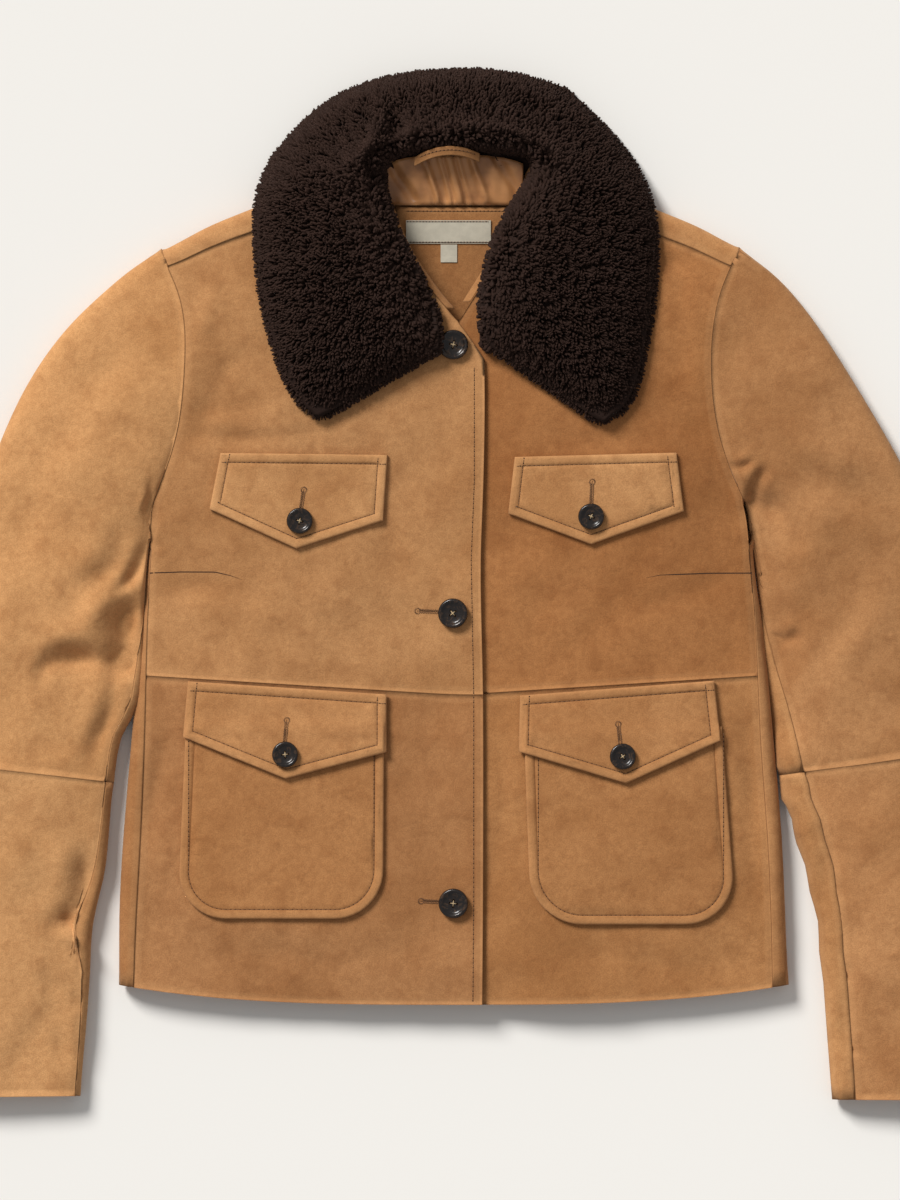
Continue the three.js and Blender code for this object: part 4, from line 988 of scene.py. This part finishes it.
# Neck: a gathered satin stand over a suede facing, sewn in under the collar, with two plain woven
# labels stitched on, a suede hanger loop, and the suede bands that finish the front neckline.
SATIN = (0.53, 0.24, 0.085, 1)
SATIN_DEEP = (0.3, 0.122, 0.04, 1)
WOVEN = (0.66, 0.60, 0.47, 1)


def weave(tree, place, direction, scale, distortion):
    """The even bands of threads that run one way through a woven cloth."""
    wave = tree.nodes.new("ShaderNodeTexWave")
    wave.wave_type = "BANDS"
    wave.bands_direction = direction
    set_inputs(wave, {"Scale": scale, "Distortion": distortion})
    tree.links.new(place, wave.inputs["Vector"])
    return wave.outputs["Fac"]


def satin():
    material, tree, shader, place = new_finish("satin")
    tone = curve(tree, grain(tree, place, 40, 3), [(0.35, 0), (0.65, 1)])
    tree.links.new(blend(tree, SATIN_DEEP, SATIN, tone), shader.inputs["Base Color"])
    emboss(tree, shader, weave(tree, place, "X", 900, 1.0), 0.15, 0.1)
    set_inputs(shader, {"Roughness": 0.38, "Anisotropic": 0.5, "Sheen Weight": 0.2})
    return material


def woven_tape():
    material, tree, shader, place = new_finish("woven_tape")
    warp, weft = weave(tree, place, "X", 620, 0.6), weave(tree, place, "Y", 760, 0.6)
    cloth = arithmetic(tree, "MULTIPLY", warp, weft)
    clouds = curve(tree, grain(tree, place, 130, 4), [(0.35, 0.82), (0.7, 1)])
    tone = blend(tree, WOVEN, curve(tree, cloth, [(0.0, 0.78), (0.6, 1)]), 0.8, "MULTIPLY")
    tree.links.new(blend(tree, tone, clouds, 0.7, "MULTIPLY"), shader.inputs["Base Color"])
    emboss(tree, shader, cloth, 0.5, 0.15)
    set_inputs(shader, {"Roughness": 0.6, "Sheen Weight": 0.25})
    return material


# Neck pieces: node, finish, and width and length of the cut in metres
NECK_PIECES = [
    ("back_facing", "suede", 0.082, 0.108),
    ("neck_stand", "satin", 0.11, 0.045),
    ("hanger_loop", "suede", 0.052, 0.0102),
    ("right_neck_band", "suede", 0.0102, 0.088),
    ("left_neck_band", "suede", 0.0102, 0.078),
]
LOOP_MIDDLE = -4.2
STAND_MIDDLE = 3.5


def gather(piece):
    """Draws the satin into uneven gathers, and widens it towards its ends."""
    points = shape_of(piece.data)
    x, y, z = points.T
    slant = x + 0.35 * (y - 280) + 3 * np.sin(x * 0.11)
    gathers = 1.3 * np.sin(slant * 0.66) + 1.5 * np.sin(slant * 0.29 + 1)
    gathers += 0.6 * np.sin(slant * 1.13 + 2)
    z += gathers * ease(264, 270, y)
    x += 7 * np.sign(x - STAND_MIDDLE) * ease(22, 50, abs(x - STAND_MIDDLE))
    set_shape(piece.data, np.stack([x, y, z], axis=1))


def arch_loop(piece):
    """Lifts the loop over the collar's lower edge, highest at its middle."""
    points = shape_of(piece.data)
    arch = np.clip(1 - ((points[:, 0] - LOOP_MIDDLE) / 27) ** 2, 0, 1)
    points[:, 1] += 1.2 + 2.5 * arch + 0.06 * points[:, 0]
    points[:, 2] += 4 + 10 * arch
    set_shape(piece.data, points)


neck = {}
# The neck's suede is darker: painted shade in the neck opening under the collar
neck_suede = suede("suede_neck", (5.3, 1.1, 0.2), (0.7, 0.63, 0.57))
for name, slot, width, length in NECK_PIECES:
    piece = cut_from(name, 2)
    mark_edges(piece.data)
    finish_in(piece, satin() if slot == "satin" else neck_suede)
    if name == "neck_stand":
        gather(piece)
    if name == "hanger_loop":
        arch_loop(piece)
    neck[name] = piece
    lay(piece, name)

tape = woven_tape()
for name in ("neck_label", "size_tab"):
    for label_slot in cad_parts[name].material_slots:
        label_slot.material = tape

label_low, label_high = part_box("neck_label")
left, right = label_low[0] / MM + 1.0, label_high[0] / MM - 1.0
foot, head = label_low[1] / MM + 1.0, label_high[1] / MM - 1.0
label_rows = [[(left, foot), (right, foot)], [(right, head), (left, head)]]
sew("label_stitching", carrier(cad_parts["neck_label"], neck["back_facing"]), label_rows, step=2.2)
sew("facing_stitching", carrier(neck["back_facing"]), [[(-34, 261), (38, 261)]], step=2.6)
loop_row = [(x, 296.7 + 0.06 * x + 6.5 * (1 - ((x - LOOP_MIDDLE) / 25) ** 2)) for x in range(-24, 18, 3)]
sew("loop_stitching", carrier(neck["hanger_loop"]), [loop_row], step=2.6)

# Shearling collar: sheepskin with its pile outside and a suede leaf under it. The pile is short
# curled locks, larger and looser at the neck's edge and finer towards the outer edge.
# The wool's dark brown, with painted shade at the roots and painted highlight at the tips
FUR_ROOT = (0.02, 0.0103, 0.0074, 1)
FUR_TIP = (0.035, 0.018, 0.013, 1)
FUR_SHEEN = (0.75, 0.45, 0.34, 1)
LOCK_SPACING = 1.48
LOCK_LENGTH = 7.6
LOCK_RADIUS = 1.3
CURLS = (0.2, 0.4, 0.65)
CLOSEST = 0.82 * LOCK_SPACING
TRIES_PER_LOCK = 3
UNDERSIDE = -0.35
UNEVEN = 0.14
CORE_DEPTH = 5.6
# Folds of the pile, given as the cloth's creases are
PILE_FOLDS = [
    (-42, 316, 69, 21, 7, 8),
    (52, 327, 105, 19, 8, 4.5),
    (-78, 262, 60, 40, 11, -1.4),
    (80, 250, 110, 44, 11, -1.4),
]
NECK_EDGE = [
    (-8, 162), (-8, 184), (-20, 214), (-34, 241), (-43, 265), (-47, 284), (-28, 301), (2, 303),
    (34, 302), (53, 298), (54, 287), (42, 269), (30, 247), (21, 220), (17, 190), (21, 166),
]


def fur_finish():
    """Dark brown wool, its own colour, made deeper at the roots as painted shade between the locks and
    browner at the tips as painted highlight; softly shining.
    """
    material, tree, shader, place = new_finish("shearling")
    tip = tree.nodes.new("ShaderNodeAttribute")
    tip.attribute_name = "tip"
    clouds = curve(tree, grain(tree, place, 110, 4), [(0.35, 0.5), (0.68, 1)])
    share = arithmetic(tree, "MULTIPLY", tip.outputs["Fac"], clouds)
    tree.links.new(blend(tree, FUR_ROOT, FUR_TIP, share), shader.inputs["Base Color"])
    emboss(tree, shader, grain(tree, place, 2200, 2), 0.6, 0.25)
    set_inputs(shader, {"Roughness": 0.7, "Specular IOR Level": 0.09})
    set_inputs(shader, {"Sheen Weight": 0.06, "Sheen Roughness": 0.5, "Sheen Tint": FUR_SHEEN})
    return material


wool = fur_finish()
skin = cut_from("fur_collar", 2)
skin.name = "fur_collar_skin"
# The collar's two points: where each is rounded from, and the way it points in degrees
TIPS = [(-90.7, 125.4, 255), (102.4, 122.3, 287)]
TIP_HEART = 5.6
TIP_MARGIN = 6.0


def round_tips(points):
    """Rounds the collar's two points, as the pile does."""
    for x, y, points_to in TIPS:
        dx, dy = points[:, 0] - x, points[:, 1] - y
        turn = np.degrees(np.arctan2(dy, dx)) - points_to
        off = np.abs((turn + 180) % 360 - 180)
        reach = np.maximum(np.hypot(dx, dy), 0.001)
        beyond = np.maximum(reach - TIP_HEART, 0)
        rounded = reach - beyond + TIP_MARGIN * np.tanh(beyond / TIP_MARGIN)
        grow = 1 + (rounded / reach - 1) * (1 - ease(30, 62, off))
        points[:, 0] = x + dx * grow
        points[:, 1] = y + dy * grow
    return points


pile_points = round_tips(shape_of(skin.data))
folded = sum(fold_lift(fold, pile_points[:, 0], pile_points[:, 1]) for fold in PILE_FOLDS)
pile_points[:, 2] += np.maximum(folded, -0.4 * pile_points[:, 2]) * ease(10, 24, pile_points[:, 2])
set_shape(skin.data, pile_points)
pile_normals = normals_of(skin.data)


def seed_locks(random):
    """Places on the pile's surface, no two nearer than the spacing, with their normals."""
    skin.data.calc_loop_triangles()
    corners = np.array([t.vertices for t in skin.data.loop_triangles])
    a, b, c = [pile_points[corners[:, i]] for i in range(3)]
    areas = np.linalg.norm(np.cross(b - a, c - a), axis=1) / 2
    count = int(areas.sum() / LOCK_SPACING**2 * TRIES_PER_LOCK)
    chosen = random.choice(len(areas), size=count, p=areas / areas.sum())
    u, v = random.random(count), random.random(count)
    u, v = np.where(u + v > 1, 1 - u, u), np.where(u + v > 1, 1 - v, v)
    w = 1 - u - v
    spots = a[chosen] * w[:, None] + b[chosen] * u[:, None] + c[chosen] * v[:, None]
    na, nb, nc = [pile_normals[corners[chosen, i]] for i in range(3)]
    normals = na * w[:, None] + nb * u[:, None] + nc * v[:, None]
    kept, cells = [], {}
    for i, (spot, normal) in enumerate(zip(spots, normals)):
        if normal[2] < UNDERSIDE:
            continue
        cell = tuple((spot // LOCK_SPACING).astype(int))
        round_it = product(*[(c - 1, c, c + 1) for c in cell])
        near = [j for beside in round_it for j in cells.get(beside, ())]
        if all(np.linalg.norm(spots[j] - spot) > CLOSEST for j in near):
            cells.setdefault(cell, []).append(i)
            kept.append(i)
    return spots[kept], normals[kept]


def curled_lock(curl):
    """A plump three-sided lock along Z, blunt at its tip, that bends over as it rises."""
    bm = bmesh.new()
    bmesh.ops.create_cone(bm, cap_ends=True, segments=3, radius1=0.95, radius2=0.55, depth=1)
    bmesh.ops.translate(bm, vec=(0, 0, 0.5), verts=bm.verts)
    sides = [e for e in bm.edges if abs(e.verts[0].co.z - e.verts[1].co.z) > 0.5]
    bmesh.ops.subdivide_edges(bm, edges=sides, cuts=1)
    bmesh.ops.triangulate(bm, faces=bm.faces)
    for vert in bm.verts:
        rise = vert.co.z
        fullness = 1 + 0.5 * math.sin(math.pi * rise)
        vert.co.x = vert.co.x * fullness + curl * rise * rise * 2.2
        vert.co.y = vert.co.y * fullness + 0.6 * curl * math.sin(5 * rise)
        vert.co.z = rise * (1 - 0.2 * rise * rise * curl)
    return bm


random = np.random.default_rng(23)
spots, ways = seed_locks(random)
loose = 1 - ease(8, 46, off_line(np.array(NECK_EDGE, dtype=float), spots[:, :2]))


def stand_lock(i):
    """The place of one lock: rooted in the skin, leaning outwards and swaying with its neighbours."""
    normal = Vector(ways[i]).normalized()
    outwards = Vector((spots[i, 0], spots[i, 1] - 250, 0)).normalized()
    flat = min(max((normal.z - 0.2) / 0.5, 0), 1)
    lean = normal + outwards * flat * (0.5 + 0.6 * loose[i])
    sway = spots[i, :2] * 0.5 + 1.5 * np.sin(spots[i, 1::-1] * 0.22)
    lean += Vector((math.sin(sway[0]), math.cos(sway[1]), 0)) * 0.3 * flat
    lean += Vector(random.normal(size=3)) * UNEVEN
    lean.normalize()
    turn = lean.to_track_quat("Z", "Y").to_matrix().to_4x4()
    size = max(0.88 + 0.62 * loose[i] + UNEVEN * random.normal(), 0.6)
    wide = LOCK_RADIUS * size * MM
    tall = LOCK_LENGTH * (0.8 + 0.3 * size) * MM
    root = Vector(spots[i]) * MM - normal * tall * (0.79 + 0.03 * flat)
    root.z = max(root.z, 1.5 * MM)
    spin = Matrix.Rotation(random.random() * 2 * math.pi, 4, "Z")
    return Matrix.Translation(root) @ turn @ spin @ Matrix.Diagonal((wide, wide, tall, 1))


regions = np.digitize(np.arctan2(spots[:, 0], spots[:, 1] - 225), [-0.75, 0.75])
for region, name in enumerate(("right_fall_pile", "neck_pile", "left_fall_pile")):
    here = np.flatnonzero(regions == region)
    parts = []
    for kind, curl in enumerate(CURLS):
        places = [stand_lock(i) for i in here[kind :: len(CURLS)]]
        lock = curled_lock(curl)
        tips = np.tile([v.co.z for v in lock.verts], len(places))
        part = scatter(name + str(kind), lock, places, wool)
        part.data.attributes.new("tip", "FLOAT", "POINT").data.foreach_set("value", tips)
        parts.append(part)
    with bpy.context.temp_override(active_object=parts[0], selected_editable_objects=parts):
        bpy.ops.object.join()
    pile = parts[0]
    pile.name = name
    set_shape(pile.data, shape_of(pile.data))
    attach(pile, "root")
    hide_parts("fur_collar")

depth = np.minimum(CORE_DEPTH, 0.35 * np.maximum(pile_points[:, 2] - 3, 0))
set_shape(skin.data, pile_points - pile_normals * depth[:, None])
finish_in(skin, wool)
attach(skin, "root")
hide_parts("fur_collar")

# The suede leaf under the pile is tucked in along its edges, and its rim and neck wear the pile
LEAF_TUCK = 6.0
LEAF_REACH = 14.0
LEAF_RIM = 3
NECK_MIDDLE = 4
leaf = cut_from("under_collar", 2)
leaf_points = round_tips(shape_of(leaf.data))
set_shape(leaf.data, leaf_points)
leaf_rims = rim_points(leaf.data)
rim_tree, leaf_tree = tree_of(leaf_rims), tree_of(leaf_points)
rim_ways = []
for rim in leaf_rims:
    near = [place for place, _, _ in leaf_tree.find_range(Vector(rim), 11)]
    rim_ways.append((sum(near, Vector()) / len(near) - Vector(rim)).xy)
for point in leaf_points:
    rim, number, far = rim_tree.find(Vector(point))
    if far < LEAF_REACH and rim_ways[number].length > 0.2:
        point[:2] += np.array(rim_ways[number].normalized()) * LEAF_TUCK * (1 - far / LEAF_REACH)
set_shape(leaf.data, leaf_points)
leaf_edges = mark_edges(leaf.data)
finish_in(leaf, suede("suede_under_collar", (7.7, 2.9, 1.0), (0.98, 0.96, 0.94)), wool)
for face in leaf.data.polygons:
    x, y, _ = face.center / MM
    at_neck = abs(x - NECK_MIDDLE) < 62 and 236 < y < 312
    if at_neck or min(leaf_edges[i] for i in face.vertices) < LEAF_RIM:
        face.material_index = 1
lay(leaf, "under_collar")

# Table, light and camera: a pale table, a large soft lamp up to the left and a wide sky, with
# the camera straight above. The picture is 900 by 1200 and shows 630 by 840 mm of the table.
PICTURE_HEIGHT = 840
PICTURE_MIDDLE = (-2.1, -11.55)
EYE_HEIGHT = 9.0
PLANE_OF_SCALE = 0.018
FILM = 36
TABLE_CREAM = (0.86, 0.84, 0.80, 1)
TABLE_GAP = 0.3
LAMP_WAY = (0.5, -0.62, -0.6)
LAMP_STRENGTH = 3.55
LAMP_SPREAD = math.radians(21)
LAMP_COLOUR = (1.0, 0.985, 0.965)
SKY_COLOUR = (0.98, 0.985, 1.0, 1)
SKY_STRENGTH = 0.37

table_bm = bmesh.new()
bmesh.ops.create_grid(table_bm, x_segments=1, y_segments=1, size=4)
bmesh.ops.translate(table_bm, vec=(0, 0, -TABLE_GAP * MM), verts=table_bm.verts)
table = add_piece("table", mesh_of("table", table_bm))
table_finish, _, table_shader, _ = new_finish("pale_table")
set_inputs(table_shader, {"Base Color": TABLE_CREAM, "Roughness": 0.9, "Specular IOR Level": 0.1})
table.data.materials.append(table_finish)

camera_data = bpy.data.cameras.new("camera")
camera_data.sensor_fit = "VERTICAL"
camera_data.sensor_height = FILM
camera_data.sensor_width = FILM
camera_data.lens = FILM * (EYE_HEIGHT - PLANE_OF_SCALE) / (PICTURE_HEIGHT * MM)
camera_data.clip_end = 50
camera = add_piece("camera", camera_data)
camera.location = (PICTURE_MIDDLE[0] * MM, PICTURE_MIDDLE[1] * MM, EYE_HEIGHT)
bpy.context.scene.camera = camera

sun = bpy.data.lights.new("key", "SUN")
sun.energy = LAMP_STRENGTH
sun.angle = LAMP_SPREAD
sun.color = LAMP_COLOUR
lamp = add_piece("key", sun)
lamp.rotation_euler = Vector(LAMP_WAY).to_track_quat("-Z", "Y").to_euler()

sky = bpy.data.worlds.new("sky")
sky.use_nodes = True
set_inputs(sky.node_tree.nodes["Background"], {"Color": SKY_COLOUR, "Strength": SKY_STRENGTH})
bpy.context.scene.world = sky
bpy.context.scene.view_settings.view_transform = "Standard"
